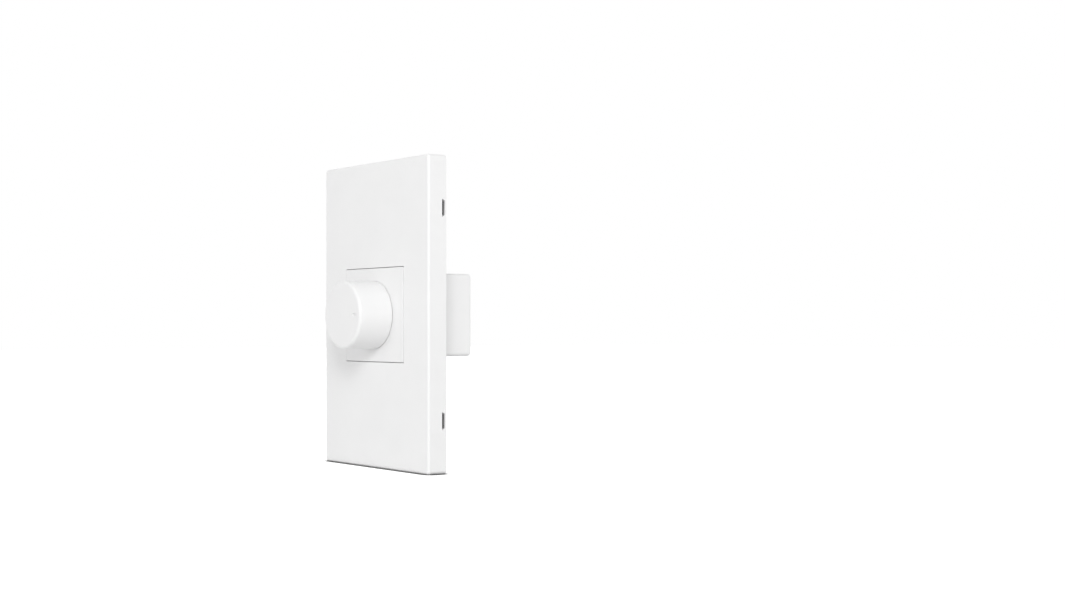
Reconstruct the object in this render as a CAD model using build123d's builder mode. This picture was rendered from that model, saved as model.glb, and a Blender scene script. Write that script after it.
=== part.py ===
"""A rotary wall dimmer: a tall cover plate over a mounting frame, a one-window dimmer module and its knob.

All sizes are in millimetres. X runs to the right as seen from the front, Z runs up and Y runs into the wall.
The origin is the middle of the wall plane, on which the plate's rim lies. A height is a distance in front of
that plane, so it is minus Y, and whatever lies behind the wall plane has a negative height.
"""

import os
from math import cos, radians, sin

from build123d import *

os.makedirs("parts", exist_ok=True)

# Cover plate
plate_width = 74.0
plate_height = 120.0
plate_depth = 8.2
plate_front_wall = 2.0
plate_side_wall = 1.9
plate_corner_radius = 1.3
plate_edge_radius = 0.9
window_width = 41.4
window_height = 37.1

# Slots in the plate's long sides, which take the frame's latches
slot_spacing = 80.0
slot_front_length = 6.8
slot_back_length = 5.4
slot_width = 1.3
slot_edge = 0.6

# Hooks that hold the plate on the frame, and ribs that centre it
rib_setback = 0.6
hook_spacing = 54.0
hook_inset = 4.1
hook_length = 7.2
hook_arm = 1.4
hook_barb = 0.8
hook_barb_depth = 1.5
hook_clearance = 0.3
locating_rib_width = 1.2
locating_rib_clearance = 0.1
locating_rib_spacing_x = 40.0
locating_rib_spacing_z = 100.0

# Mounting frame
frame_side_clearance = 0.4
frame_web = 2.0
frame_rim_wall = 1.6
frame_rib = 1.2
rail_offset = 1.3
screw_spacing = 83.5
screw_slot_width = 4.2
screw_slot_length = 7.0
screw_boss_wall = 2.4
latch_nose_length = 5.0
latch_nose_tip = 0.2
latch_nose_recess = 0.7
latch_nose_clearance = 0.15
latch_tongue_margin = 0.6
latch_slit_width = 0.7

# Module: the rear shell and the fascia whose skirt it snaps into
module_side_step = 1.45
module_top_step = 2.15
module_reach = 25.3
module_wall = 1.5
module_edge_radius = 1.4
housing_play = 0.1
fascia_gap = 0.25
fascia_rise = 0.2
fascia_wall = 2.0
fascia_edge_radius = 0.4
lip_thickness = 0.6
lip_play = 0.2
lip_overhang = 2.0
skirt_wall = 0.9
skirt_clearance = 0.15
skirt_frame_clearance = 0.3
skirt_back_height = 0.6
catch_spacing = 18.0
catch_length = 5.0
catch_depth = 1.6
catch_overlap = 0.5
latch_clearance = 0.1
snap_window_width = 6.0
snap_window_back = 2.3
snap_window_depth = 2.0
snap_bump = 0.55
snap_clearance = 0.2

# Knob
knob_gap = 0.4
knob_height = 14.45
knob_base_radius = 13.3
knob_face_radius = 13.15
knob_edge_radius = 1.2
knob_wall = 1.6
knob_face_wall = 1.8
knob_hub_wall = 2.17
knob_rib_count = 6
knob_rib_width = 1.0
knob_rib_inset = 2.0
pointer_radius = 9.3
pointer_length = 2.9
pointer_width = 1.1
pointer_depth = 0.35

# Shaft and bushing
shaft_radius = 3.0
shaft_flat_depth = 1.5
shaft_tip_chamfer = 0.5
shaft_tip_clearance = 0.3
shaft_tail_width = 4.0
hub_clearance = 0.03
running_clearance = 0.04
bush_wall = 0.46
bush_excess = 0.5
bush_hub_clearance = 0.6
nut_flats = 10.0
nut_thickness = 2.0
thread_clearance = 0.02
screw_clearance = 0.05
washer_radius = 5.6
washer_thickness = 0.5
washer_teeth = 12
washer_tooth_depth = 0.7
washer_tooth_width = 1.05
lug_radius = 7.0
lug_width = 2.5
lug_length = 1.2
lug_thickness = 1.0
lug_clearance = 0.1
spring_thickness = 0.3
spring_bow = 0.35
spring_width = 3.6
spring_clearance = 0.05
spring_end_clearance = 0.5
spring_wall_clearance = 0.1

# Potentiometer
can_radius = 8.25
can_wall = 0.4
can_depth = 4.6
can_opening_radius = 3.0
flange_thickness = 1.0
track_thickness = 0.8
track_clearance = 0.15
tongue_width = 12.4
tongue_length = 2.35
collar_width = 0.7
collar_clearance = 0.2
collar_play = 0.05
rotor_clearance = 0.3
rotor_gap = 1.75
lug_tip_clearance = 0.6
stop_overlap = 0.7
stop_half_angle = 10.0
rotor_lug_half_angle = 17.0
wiper_space = 0.7
wiper_thickness = 0.2
wiper_gap = 0.1
wiper_pad_length = 2.4
wiper_pad_width = 1.2
terminal_pitch = 5.0
terminal_standoff = 1.35
terminal_width = 1.0
terminal_thickness = 0.5
drive_pin_radius = 0.7
drive_pin_circle = 1.7

# Rotate-off switch behind the potentiometer
switch_depth = 5.6
switch_wall = 0.8
switch_floor = 1.0
pivot_inset = 3.05
pivot_radius = 0.7
lever_hub_radius = 1.3
lever_clearance = 0.05
lever_end_clearance = 0.4
lever_toe_clearance = 0.35
lever_toe_width = 0.9
lever_toe_angle = -75.0
lever_arm_length = 3.8
lever_arm_width = 1.0
lever_arm_angle = 10.0
lever_nose_radius = 1.9
contact_length = 1.6
contact_thickness = 0.4
contact_gap = 0.1
contact_place = 2.8
blade_length = 1.6
blade_thickness = 0.5
blade_clearance = 0.1
detent_gap = 0.3
detent_thickness = 0.25
detent_tail = 0.9
common_blade_inset = 2.15
common_blade_z = 0.4

# Circuit board and what stands on it
board_thickness = 1.6
board_clearance = 0.3
board_gap = 1.4
board_play = 0.1
post_width = 2.2
pillar_radius = 1.2
pillar_inset = 2.9
lead_radius = 0.35
lead_sides = 8
lead_hole_clearance = 0.15
lead_slot_clearance = 0.1
lead_tail = 0.6
component_standoff = 0.8

# Wire terminals
cage_count = 3
cage_pitch = 10.0
cage_width = 7.0
cage_depth = 7.0
cage_length = 8.0
cage_clearance = 0.25
cage_leg_width = 2.0
cage_leg_thickness = 0.8
cage_leg_drop = 2.0
wire_hole_radius = 1.6
wire_entry_width = 5.6
pocket_floor = 2.4
pocket_roof = 1.2
terminal_screw_radius = 1.5
terminal_screw_head_radius = 2.7
terminal_screw_head = 1.6
terminal_screw_recess = 0.6
terminal_screw_clearance = 0.3
screw_tip_clearance = 0.2
driver_slot_width = 0.8
driver_slot_depth = 0.8

# Power device and its heat sink
sink_wall_clearance = 0.45
sink_post_clearance = 0.2
device_width = 10.0
device_tab_length = 15.6
device_tab_thickness = 1.3
device_body_length = 9.2
device_body_thickness = 3.2
device_hole_radius = 1.8
device_hole_inset = 2.8
device_lead_pitch = 2.54
device_lead_width = 0.8
device_lead_thickness = 0.5
device_lead_reach = 1.6
device_lead_level = 1.3
sink_width = 10.4
sink_thickness = 1.5
sink_fin_clearance = 1.0
sink_block_clearance = 0.95
sink_below_device = 2.6
sink_leg_length = 1.5
sink_screw_radius = 1.5
sink_screw_head_radius = 2.75
sink_screw_head = 2.0
sink_nut_flats = 5.5
sink_nut_thickness = 2.4

# Passive components
choke_side_clearance = 1.7
choke_top_clearance = 1.85
choke_outer_radius = 6.2
choke_inner_radius = 3.5
choke_height = 5.0
winding_thickness = 0.9
winding_clearance = 0.1
winding_angle = 320.0
choke_lead_angle = 10.0
filter_block_clearance = 1.45
filter_width = 5.0
filter_length = 13.0
filter_depth = 10.0
filter_lead_pitch = 10.0
timing_edge = 2.85
timing_width = 3.5
timing_length = 7.2
timing_depth = 6.0
timing_lead_pitch = 5.0
axial_lead_pitch = 10.2
diac_radius = 0.95
diac_length = 4.2
resistor_edge = 0.15
resistor_pitch = 2.7
resistor_radius = 1.15
resistor_length = 6.3
resistor_height = 1.8
component_chamfer = 0.3

# Heights of the front pieces
plate_ceiling = plate_depth - plate_front_wall
lip_front = plate_ceiling - lip_play
frame_front = lip_front - lip_thickness
web_back = frame_front - frame_web
fascia_front = plate_depth + fascia_rise
fascia_back = fascia_front - fascia_wall
module_front = fascia_back - housing_play
rear_inside = module_wall - module_reach

# Widths that follow from the plate, the window and the module
cavity_width = plate_width - 2 * plate_side_wall
cavity_height = plate_height - 2 * plate_side_wall
frame_width = cavity_width - 2 * frame_side_clearance
frame_height = cavity_height - 2 * frame_side_clearance
hook_x = frame_width / 2 - hook_inset
fascia_width = window_width - 2 * fascia_gap
fascia_height = window_height - 2 * fascia_gap
module_width = fascia_width - 2 * module_side_step
module_height = fascia_height - 2 * module_top_step
skirt_growth = 2 * (skirt_clearance + skirt_wall)
skirt_width = module_width + skirt_growth
skirt_height = module_height + skirt_growth
opening_width = skirt_width + 2 * skirt_frame_clearance
opening_height = skirt_height + 2 * skirt_frame_clearance
inside_width = module_width - 2 * module_wall
inside_height = module_height - 2 * module_wall
board_width = inside_width - 2 * board_clearance
board_height = inside_height - 2 * board_clearance

# Radii of the shaft, the potentiometer and the switch
shaft_flat = shaft_radius - shaft_flat_depth
bush_radius = shaft_radius + running_clearance + bush_wall
collar_radius = shaft_radius + collar_width
knob_hub_radius = shaft_radius + hub_clearance + knob_hub_wall
rotor_radius = can_radius - can_wall - rotor_gap
switch_radius = can_radius
switch_inner_radius = switch_radius - switch_wall
pivot_height = switch_inner_radius - pivot_inset

# Heights of the potentiometer and the switch
flange_back = fascia_back - flange_thickness
bush_front = fascia_front + washer_thickness + nut_thickness + bush_excess
track_back = flange_back - track_thickness
can_back = flange_back - can_depth
can_floor = can_back + can_wall
rotor_front = track_back - wiper_space
rotor_back = can_floor + rotor_clearance
knob_base = fascia_front + knob_gap
knob_face = knob_base + knob_height
hub_base = bush_front + bush_hub_clearance
bore_end = knob_face - knob_face_wall
shaft_front = bore_end - shaft_tip_clearance
shaft_flat_back = hub_base - bush_hub_clearance / 2
switch_back = can_back - switch_depth
switch_inside = switch_back + switch_floor
lever_back = switch_inside + lever_end_clearance
lever_front = can_back - lever_end_clearance
board_front = switch_back - board_gap
board_back = board_front - board_thickness
tail_back = board_back - lead_tail
seat_height = board_back - component_standoff

# Shared places of the switch, the pillars and the wire terminals
lever_direction = Vector(cos(radians(lever_arm_angle)), sin(radians(lever_arm_angle)))
lever_normal = Vector(-sin(radians(lever_arm_angle)), cos(radians(lever_arm_angle)))
pivot = Vector(0, pivot_height)
contact_offset = lever_arm_width / 2 + contact_thickness / 2
blade_offset = lever_arm_width / 2 + contact_thickness + contact_gap + blade_thickness / 2
arm_centre = pivot + lever_direction * (lever_arm_length / 2)
contact_centre = pivot + lever_direction * contact_place + lever_normal * contact_offset
blade_centre = pivot + lever_direction * contact_place + lever_normal * blade_offset
nose_centre = pivot - lever_direction * (lever_nose_radius / 2)
common_blade_x = common_blade_inset - switch_inner_radius
common_blade = Vector(common_blade_x, common_blade_z)
leg_z = -can_radius - terminal_standoff
tongue_reach = can_radius + tongue_length
pillar_x = inside_width / 2 - pillar_inset
pillar_z = inside_height / 2 - pillar_inset
lead_hole_radius = lead_radius + lead_hole_clearance
cage_back = pocket_floor + cage_clearance - module_reach
cage_front = cage_back + cage_depth
cage_bottom = cage_clearance - inside_height / 2
cage_z = cage_bottom + cage_length / 2
cage_leg_z = cage_z - cage_leg_drop
pocket_back = pocket_floor - module_reach
block_height = cage_length + 2 * cage_clearance + pocket_roof
block_z = (block_height - inside_height) / 2
block_top = block_height - inside_height / 2
device_tab_top = inside_height / 2 - sink_wall_clearance
device_x = inside_width / 2 - post_width - sink_post_clearance - sink_width / 2
device_back = seat_height - device_body_thickness - device_tab_thickness
device_tab_bottom = device_tab_top - device_tab_length
device_hole_z = device_tab_top - device_hole_inset
device_lead_height = device_back + device_tab_thickness + device_lead_level
device_lead_z = device_tab_bottom - device_lead_reach
sink_back = device_back - sink_thickness
sink_bottom = device_tab_bottom - sink_below_device
sink_z = (device_tab_top + sink_bottom) / 2
sink_height = device_tab_top - sink_bottom
sink_wall_x = (sink_width - sink_thickness) / 2
sink_fin_bottom = block_top + sink_block_clearance
sink_fin_z = (device_tab_top + sink_fin_bottom) / 2
sink_fin_height = device_tab_top - sink_fin_bottom
sink_fin_depth = sink_back - rear_inside - sink_fin_clearance

# Places of the choke, the capacitors and the axial components
winding_grow = winding_thickness + winding_clearance
winding_radius = choke_outer_radius + winding_grow
choke_x = choke_side_clearance + winding_radius - inside_width / 2
choke_z = inside_height / 2 - choke_top_clearance - winding_radius
filter_x = (choke_x + winding_radius + device_x - sink_width / 2) / 2
filter_z = block_top + filter_block_clearance + filter_length / 2
choke_ring_radius = (choke_outer_radius + choke_inner_radius) / 2
choke_lead_places = [
    Vector(choke_ring_radius, 0).rotate(Axis.Z, turn)
    for turn in (-choke_lead_angle, 360 - winding_angle + choke_lead_angle)
]
timing_x = timing_edge + timing_width / 2 - board_width / 2
outer_resistor_x = board_width / 2 - resistor_edge - resistor_radius
inner_resistor_x = outer_resistor_x - resistor_pitch
diac_x = inner_resistor_x - resistor_pitch

# Cover plate: a shallow open-backed shell with its window, latch slots, locating ribs and hooks
hook_back = web_back - latch_clearance - hook_barb_depth
with BuildPart() as cover_plate:
    with BuildSketch(Plane.XZ):
        RectangleRounded(plate_width, plate_height, plate_corner_radius)
    extrude(amount=plate_depth)
    fillet(cover_plate.faces().sort_by(Axis.Y)[0].edges(), plate_edge_radius)
    with BuildSketch(Plane.XZ):
        Rectangle(cavity_width, cavity_height)
    extrude(amount=plate_ceiling, mode=Mode.SUBTRACT)
    with BuildSketch(Plane.XZ.offset(plate_ceiling)):
        Rectangle(window_width, window_height)
    extrude(amount=plate_front_wall, mode=Mode.SUBTRACT)
    locating_rib_depth = frame_side_clearance - locating_rib_clearance
    with BuildSketch(Plane.XZ.offset(rib_setback)):
        with GridLocations(cavity_width - locating_rib_depth, locating_rib_spacing_z, 2, 2):
            Rectangle(locating_rib_depth, locating_rib_width)
        with GridLocations(locating_rib_spacing_x, cavity_height - locating_rib_depth, 2, 2):
            Rectangle(locating_rib_width, locating_rib_depth)
    extrude(amount=plate_ceiling - rib_setback)
    for hook_z in (-hook_spacing / 2, hook_spacing / 2):
        with BuildSketch(Plane.XY.offset(hook_z - hook_length / 2)):
            with BuildLine():
                Polyline(
                    (hook_x - hook_arm, -plate_ceiling),
                    (hook_x, -plate_ceiling),
                    (hook_x, -hook_back - hook_barb_depth),
                    (hook_x + hook_barb, -hook_back - hook_barb_depth),
                    (hook_x, -hook_back),
                    (hook_x - hook_arm, -hook_back),
                    close=True,
                )
            make_face()
            mirror(about=Plane.YZ)
        extrude(amount=hook_length)
    with BuildSketch(Plane.YZ):
        with Locations((0, slot_spacing / 2), (0, -slot_spacing / 2)):
            Polygon(
                (-slot_edge - slot_width, -slot_front_length / 2),
                (-slot_edge, -slot_back_length / 2),
                (-slot_edge, slot_back_length / 2),
                (-slot_edge - slot_width, slot_front_length / 2),
                align=None,
            )
    extrude(amount=plate_width, both=True, mode=Mode.SUBTRACT)
cover_plate.part.label = "cover_plate"
export_step(cover_plate.part, "parts/cover_plate.step")

# Mounting frame: a ribbed tray with the module opening, the hooks' windows, the box screws' slots and four
# latches, each a tongue of the rim between two slits with a nose that snaps into the plate's slot
rail_width = opening_width + 2 * rail_offset
rail_height = opening_height + 2 * rail_offset
hook_window_width = hook_arm + 2 * hook_clearance
boss_length = screw_slot_length + 2 * screw_boss_wall
boss_width = screw_slot_width + 2 * screw_boss_wall
latch_back = slot_edge + latch_nose_clearance
latch_front = slot_edge + slot_width - latch_nose_clearance
latch_tip = plate_width / 2 - latch_nose_recess
slit_spacing = latch_nose_length + 2 * latch_tongue_margin + latch_slit_width
with BuildPart() as mounting_frame:
    with BuildSketch(Plane.XZ):
        Rectangle(frame_width, frame_height)
    extrude(amount=frame_front)
    fillet(mounting_frame.edges().filter_by(Axis.Y), plate_corner_radius)
    with BuildSketch(Plane.XZ):
        Rectangle(frame_width - 2 * frame_rim_wall, frame_height - 2 * frame_rim_wall)
    extrude(amount=web_back, mode=Mode.SUBTRACT)
    with BuildSketch(Plane.XZ.offset(rib_setback)):
        with GridLocations(rail_width + frame_rib, 0, 2, 1):
            Rectangle(frame_rib, frame_height - frame_rim_wall)
        with GridLocations(0, rail_height + frame_rib, 1, 2):
            Rectangle(frame_width - frame_rim_wall, frame_rib)
        Rectangle(frame_rib, frame_height - frame_rim_wall)
        Rectangle(rail_width, rail_height, mode=Mode.SUBTRACT)
    extrude(amount=web_back - rib_setback)
    with BuildSketch(Plane.XZ):
        with GridLocations(0, screw_spacing, 1, 2):
            SlotOverall(boss_length, boss_width, rotation=90)
    extrude(amount=web_back)
    with BuildSketch(Plane.XZ):
        Rectangle(opening_width, opening_height)
        with GridLocations(0, screw_spacing, 1, 2):
            SlotOverall(screw_slot_length, screw_slot_width, rotation=90)
        with GridLocations(2 * hook_x - hook_arm, hook_spacing, 2, 2):
            Rectangle(hook_window_width, hook_length + 2 * hook_clearance)
    extrude(amount=frame_front, mode=Mode.SUBTRACT)
    with BuildSketch(Plane.XZ):
        with GridLocations(frame_width - frame_rim_wall, slot_spacing, 2, 2):
            with GridLocations(0, slit_spacing, 1, 2):
                Rectangle(frame_rim_wall, latch_slit_width)
    extrude(amount=web_back, mode=Mode.SUBTRACT)
    for latch_z in (-slot_spacing / 2, slot_spacing / 2):
        with BuildSketch(Plane.XY.offset(latch_z - latch_nose_length / 2)):
            with BuildLine():
                Polyline(
                    (frame_width / 2, -latch_back),
                    (latch_tip, -latch_back),
                    (latch_tip, -latch_back - latch_nose_tip),
                    (frame_width / 2, -latch_front),
                    close=True,
                )
            make_face()
            mirror(about=Plane.YZ)
        extrude(amount=latch_nose_length)
mounting_frame.part.label = "mounting_frame"
export_step(mounting_frame.part, "parts/mounting_frame.step")

# Module fascia: the raised front panel, its hidden lip, the skirt with its catches, and the board's pillars
catch_reach = skirt_frame_clearance + catch_overlap
catch_front = web_back - latch_clearance
with BuildPart() as module_fascia:
    with BuildSketch(Plane.XZ.offset(frame_front)):
        Rectangle(fascia_width, fascia_height)
    extrude(amount=fascia_front - frame_front)
    fillet(module_fascia.faces().sort_by(Axis.Y)[0].edges(), fascia_edge_radius)
    with BuildSketch(Plane.XZ.offset(frame_front)):
        Rectangle(skirt_width + 2 * lip_overhang, skirt_height + 2 * lip_overhang)
    extrude(amount=lip_thickness)
    with BuildSketch(Plane.XZ.offset(skirt_back_height)):
        Rectangle(skirt_width, skirt_height)
    extrude(amount=frame_front - skirt_back_height)
    with BuildSketch(Plane.XZ.offset(skirt_back_height)):
        Rectangle(skirt_width - 2 * skirt_wall, skirt_height - 2 * skirt_wall)
    extrude(amount=fascia_back - skirt_back_height, mode=Mode.SUBTRACT)
    for catch_z in (-catch_spacing / 2, catch_spacing / 2):
        with BuildSketch(Plane.XY.offset(catch_z - catch_length / 2)):
            with BuildLine():
                Polyline(
                    (skirt_width / 2, -catch_front),
                    (skirt_width / 2 + catch_reach, -catch_front),
                    (skirt_width / 2, catch_depth - catch_front),
                    close=True,
                )
            make_face()
            mirror(about=Plane.YZ)
        extrude(amount=catch_length)
    with BuildSketch(Plane.XZ.offset(snap_window_back)):
        with GridLocations(0, skirt_height - skirt_wall, 1, 2):
            Rectangle(snap_window_width, skirt_wall)
    extrude(amount=snap_window_depth, mode=Mode.SUBTRACT)
    with BuildSketch(Plane.XZ.offset(board_front + board_play)):
        with GridLocations(2 * pillar_x, 2 * pillar_z, 2, 2):
            Circle(pillar_radius)
    extrude(amount=fascia_back - board_front - board_play)
    with BuildSketch(Plane.XZ.offset(fascia_back)):
        Circle(bush_radius + lug_clearance)
    extrude(amount=fascia_wall, mode=Mode.SUBTRACT)
    with BuildSketch(Plane.XZ.offset(fascia_back)):
        with Locations((lug_radius, 0)):
            Rectangle(lug_thickness + 2 * lug_clearance, lug_width + 2 * lug_clearance)
    extrude(amount=lug_length + lug_clearance, mode=Mode.SUBTRACT)
module_fascia.part.label = "module_fascia"
export_step(module_fascia.part, "parts/module_fascia.step")

# Module housing: the rear shell with its snaps, board posts, terminal block, wire entries and screw holes
snap_reach = skirt_clearance + snap_bump
snap_back = snap_window_back + snap_clearance
snap_front = snap_window_back + snap_window_depth - snap_clearance
with BuildPart() as module_housing:
    with BuildSketch(Plane.XZ.offset(-module_reach)):
        Rectangle(module_width, module_height)
    extrude(amount=module_reach + module_front)
    rear_edges = module_housing.faces().sort_by(Axis.Y)[-1].edges()
    fillet(module_housing.edges().filter_by(Axis.Y) + rear_edges, module_edge_radius)
    with BuildSketch(Plane.XZ.offset(rear_inside)):
        Rectangle(inside_width, inside_height)
    extrude(amount=module_front - rear_inside, mode=Mode.SUBTRACT)
    with BuildSketch(Plane.XZ.offset(rear_inside)):
        with GridLocations(inside_width - post_width, inside_height - post_width, 2, 2):
            Rectangle(post_width, post_width)
    extrude(amount=board_back - rear_inside)
    with BuildSketch(Plane.XZ.offset(rear_inside)):
        with Locations((0, block_z)):
            Rectangle(inside_width, block_height)
    extrude(amount=cage_front - rear_inside)
    with BuildSketch(Plane.XZ.offset(pocket_back)):
        with Locations((0, cage_z)):
            with GridLocations(cage_pitch, 0, cage_count, 1):
                Rectangle(cage_width + 2 * cage_clearance, cage_length + 2 * cage_clearance)
    extrude(amount=cage_front - pocket_back, mode=Mode.SUBTRACT)
    with BuildSketch(Plane.XZ.offset(-module_reach)):
        with Locations((0, cage_z)):
            with GridLocations(cage_pitch, 0, cage_count, 1):
                Circle(terminal_screw_head_radius + terminal_screw_clearance)
    extrude(amount=pocket_floor, mode=Mode.SUBTRACT)
    with BuildSketch(Plane.XY.offset(-module_height / 2)):
        with Locations((0, -(cage_back + cage_front) / 2)):
            with GridLocations(cage_pitch, 0, cage_count, 1):
                Rectangle(wire_entry_width, wire_entry_width)
    extrude(amount=module_wall, mode=Mode.SUBTRACT)
    with BuildSketch(Plane.YZ.offset(snap_clearance - snap_window_width / 2)):
        with BuildLine():
            Polyline(
                (-snap_back, module_height / 2),
                (-snap_back, module_height / 2 + snap_reach),
                (-snap_front, module_height / 2),
                close=True,
            )
        make_face()
        mirror(about=Plane.XZ)
    extrude(amount=snap_window_width - 2 * snap_clearance)
module_housing.part.label = "module_housing"
export_step(module_housing.part, "parts/module_housing.step")

# Knob: a hollow cap with a ribbed hub, a D-shaped bore and a sunk pointer mark
knob_inside = knob_face - knob_face_wall
knob_inner_radius = knob_face_radius - knob_wall
rib_base = hub_base + knob_rib_inset
rib_outer = knob_inner_radius + knob_wall / 2
rib_inner = knob_hub_radius - knob_wall / 2
spring_room = spring_clearance + spring_bow + spring_thickness + spring_wall_clearance
with BuildPart() as knob:
    with BuildSketch(Plane.XY):
        with BuildLine():
            Polyline(
                (0, -knob_face),
                (knob_face_radius, -knob_face),
                (knob_base_radius, -knob_base),
                (knob_inner_radius, -knob_base),
                (knob_inner_radius, -knob_inside),
                (knob_hub_radius, -knob_inside),
                (knob_hub_radius, -hub_base),
                (0, -hub_base),
                close=True,
            )
        make_face()
    revolve(axis=Axis.Y)
    fillet(knob.faces().sort_by(Axis.Y)[0].edges(), knob_edge_radius)
    with BuildSketch(Plane.XZ.offset(rib_base)):
        with PolarLocations((rib_outer + rib_inner) / 2, knob_rib_count, start_angle=180 / knob_rib_count):
            Rectangle(rib_outer - rib_inner, knob_rib_width)
    extrude(amount=knob_inside - rib_base)
    with BuildSketch(Plane.XZ.offset(hub_base)):
        Circle(shaft_radius + hub_clearance)
        with Locations((shaft_flat + spring_room, 0)):
            Rectangle(shaft_radius, 2 * knob_hub_radius, align=(Align.MIN, Align.CENTER), mode=Mode.SUBTRACT)
    extrude(amount=bore_end - hub_base, mode=Mode.SUBTRACT)
    with BuildSketch(Plane.XZ.offset(knob_face - pointer_depth)):
        with Locations((pointer_radius, 0)):
            SlotOverall(pointer_length, pointer_width)
    extrude(amount=pointer_depth, mode=Mode.SUBTRACT)
knob.part.label = "knob"
export_step(knob.part, "parts/knob.step")

# Knob spring: a bowed leaf between the shaft's flat and the wall of the hub's bore
spring_inner = shaft_flat + spring_clearance
spring_back = -hub_base - spring_end_clearance
spring_front = shaft_tip_chamfer + spring_end_clearance - shaft_front
with BuildPart() as knob_spring:
    with BuildSketch(Plane.XY.offset(-spring_width / 2)):
        with BuildLine():
            ThreePointArc(
                (spring_inner, spring_back),
                (spring_inner + spring_bow, (spring_back + spring_front) / 2),
                (spring_inner, spring_front),
            )
            Line((spring_inner, spring_front), (spring_inner + spring_thickness, spring_front))
            ThreePointArc(
                (spring_inner + spring_thickness, spring_front),
                (spring_inner + spring_thickness + spring_bow, (spring_back + spring_front) / 2),
                (spring_inner + spring_thickness, spring_back),
            )
            Line((spring_inner + spring_thickness, spring_back), (spring_inner, spring_back))
        make_face()
    extrude(amount=spring_width)
knob_spring.part.label = "knob_spring"
export_step(knob_spring.part, "parts/knob_spring.step")

# Shaft: turned, with a flat for the knob, a retaining collar and a tail with two flats in the rotor
with BuildPart() as pot_shaft:
    with BuildSketch(Plane.XZ.offset(rotor_front)):
        Circle(shaft_radius)
    extrude(amount=shaft_front - rotor_front)
    chamfer(pot_shaft.faces().sort_by(Axis.Y)[0].edges(), shaft_tip_chamfer)
    with BuildSketch(Plane.XZ.offset(shaft_flat_back)):
        with Locations((shaft_flat, 0)):
            Rectangle(shaft_radius, 2 * collar_radius, align=(Align.MIN, Align.CENTER))
    extrude(amount=shaft_front - shaft_flat_back, mode=Mode.SUBTRACT)
    with BuildSketch(Plane.XZ.offset(track_back)):
        Circle(collar_radius)
    extrude(amount=track_thickness - collar_play)
    with BuildSketch(Plane.XZ.offset(rotor_back)):
        Circle(shaft_radius)
        Rectangle(shaft_tail_width, 2 * shaft_radius, mode=Mode.INTERSECT)
    extrude(amount=rotor_front - rotor_back)
pot_shaft.part.label = "pot_shaft"
export_step(pot_shaft.part, "parts/pot_shaft.step")

# Bushing: the front plate with its locating lug, and the threaded neck
with BuildPart() as pot_bushing:
    with BuildSketch(Plane.XZ.offset(flange_back)):
        Circle(can_radius)
    extrude(amount=flange_thickness)
    with BuildSketch(Plane.XZ.offset(fascia_back)):
        Circle(bush_radius)
    extrude(amount=bush_front - fascia_back)
    chamfer(pot_bushing.faces().sort_by(Axis.Y)[0].edges(), bush_excess / 2)
    with BuildSketch(Plane.XZ.offset(fascia_back)):
        with Locations((lug_radius, 0)):
            Rectangle(lug_thickness, lug_width)
    extrude(amount=lug_length)
    with BuildSketch(Plane.XZ.offset(flange_back)):
        Circle(shaft_radius + running_clearance)
    extrude(amount=bush_front - flange_back, mode=Mode.SUBTRACT)
pot_bushing.part.label = "pot_bushing"
export_step(pot_bushing.part, "parts/pot_bushing.step")

# Lock washer with outer teeth
with BuildPart() as pot_washer:
    with BuildSketch(Plane.XZ.offset(fascia_front)):
        Circle(washer_radius - washer_tooth_depth)
        with PolarLocations(washer_radius - washer_tooth_depth, washer_teeth):
            Rectangle(2 * washer_tooth_depth, washer_tooth_width)
        Circle(bush_radius + lug_clearance, mode=Mode.SUBTRACT)
    extrude(amount=washer_thickness)
pot_washer.part.label = "pot_washer"
export_step(pot_washer.part, "parts/pot_washer.step")

# Nut that clamps the potentiometer to the fascia
with BuildPart() as pot_nut:
    with BuildSketch(Plane.XZ.offset(fascia_front + washer_thickness)):
        RegularPolygon(nut_flats / 2, 6, major_radius=False)
        Circle(bush_radius + thread_clearance, mode=Mode.SUBTRACT)
    extrude(amount=nut_thickness)
pot_nut.part.label = "pot_nut"
export_step(pot_nut.part, "parts/pot_nut.step")

# Can: a drawn steel cup with a hole for the drive pin, a gap for the tongue and a bent end-stop tab
stop_inner = rotor_radius + stop_overlap
stop_width = 2 * can_radius * sin(radians(stop_half_angle))
with BuildPart() as pot_can:
    with BuildSketch(Plane.XZ.offset(can_back)):
        Circle(can_radius)
    extrude(amount=can_depth)
    with BuildSketch(Plane.XZ.offset(can_floor)):
        Circle(can_radius - can_wall)
    extrude(amount=can_depth - can_wall, mode=Mode.SUBTRACT)
    with BuildSketch(Plane.XZ.offset(can_back)):
        Circle(can_opening_radius)
    extrude(amount=can_wall, mode=Mode.SUBTRACT)
    with BuildSketch(Plane.XZ.offset(can_floor)):
        Circle(can_radius - can_wall / 2)
        with Locations((0, -can_radius)):
            Rectangle(stop_width, 2 * (can_radius - stop_inner), mode=Mode.INTERSECT)
    extrude(amount=rotor_front - can_floor)
    with BuildSketch(Plane.XZ.offset(track_back - track_clearance)):
        with Locations((0, -can_radius)):
            Rectangle(tongue_width + 2 * track_clearance, can_radius)
    extrude(amount=track_thickness + track_clearance, mode=Mode.SUBTRACT)
pot_can.part.label = "pot_can"
export_step(pot_can.part, "parts/pot_can.step")

# Resistance track: a board disc with a tongue for the terminals
track_radius = can_radius - can_wall - track_clearance
with BuildPart() as pot_track:
    with BuildSketch(Plane.XZ.offset(track_back)):
        Circle(track_radius)
        with Locations((0, -tongue_reach)):
            Rectangle(tongue_width, tongue_reach - can_radius / 2, align=(Align.CENTER, Align.MIN))
        Circle(collar_radius + collar_clearance, mode=Mode.SUBTRACT)
    extrude(amount=track_thickness)
pot_track.part.label = "pot_track"
export_step(pot_track.part, "parts/pot_track.step")

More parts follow.
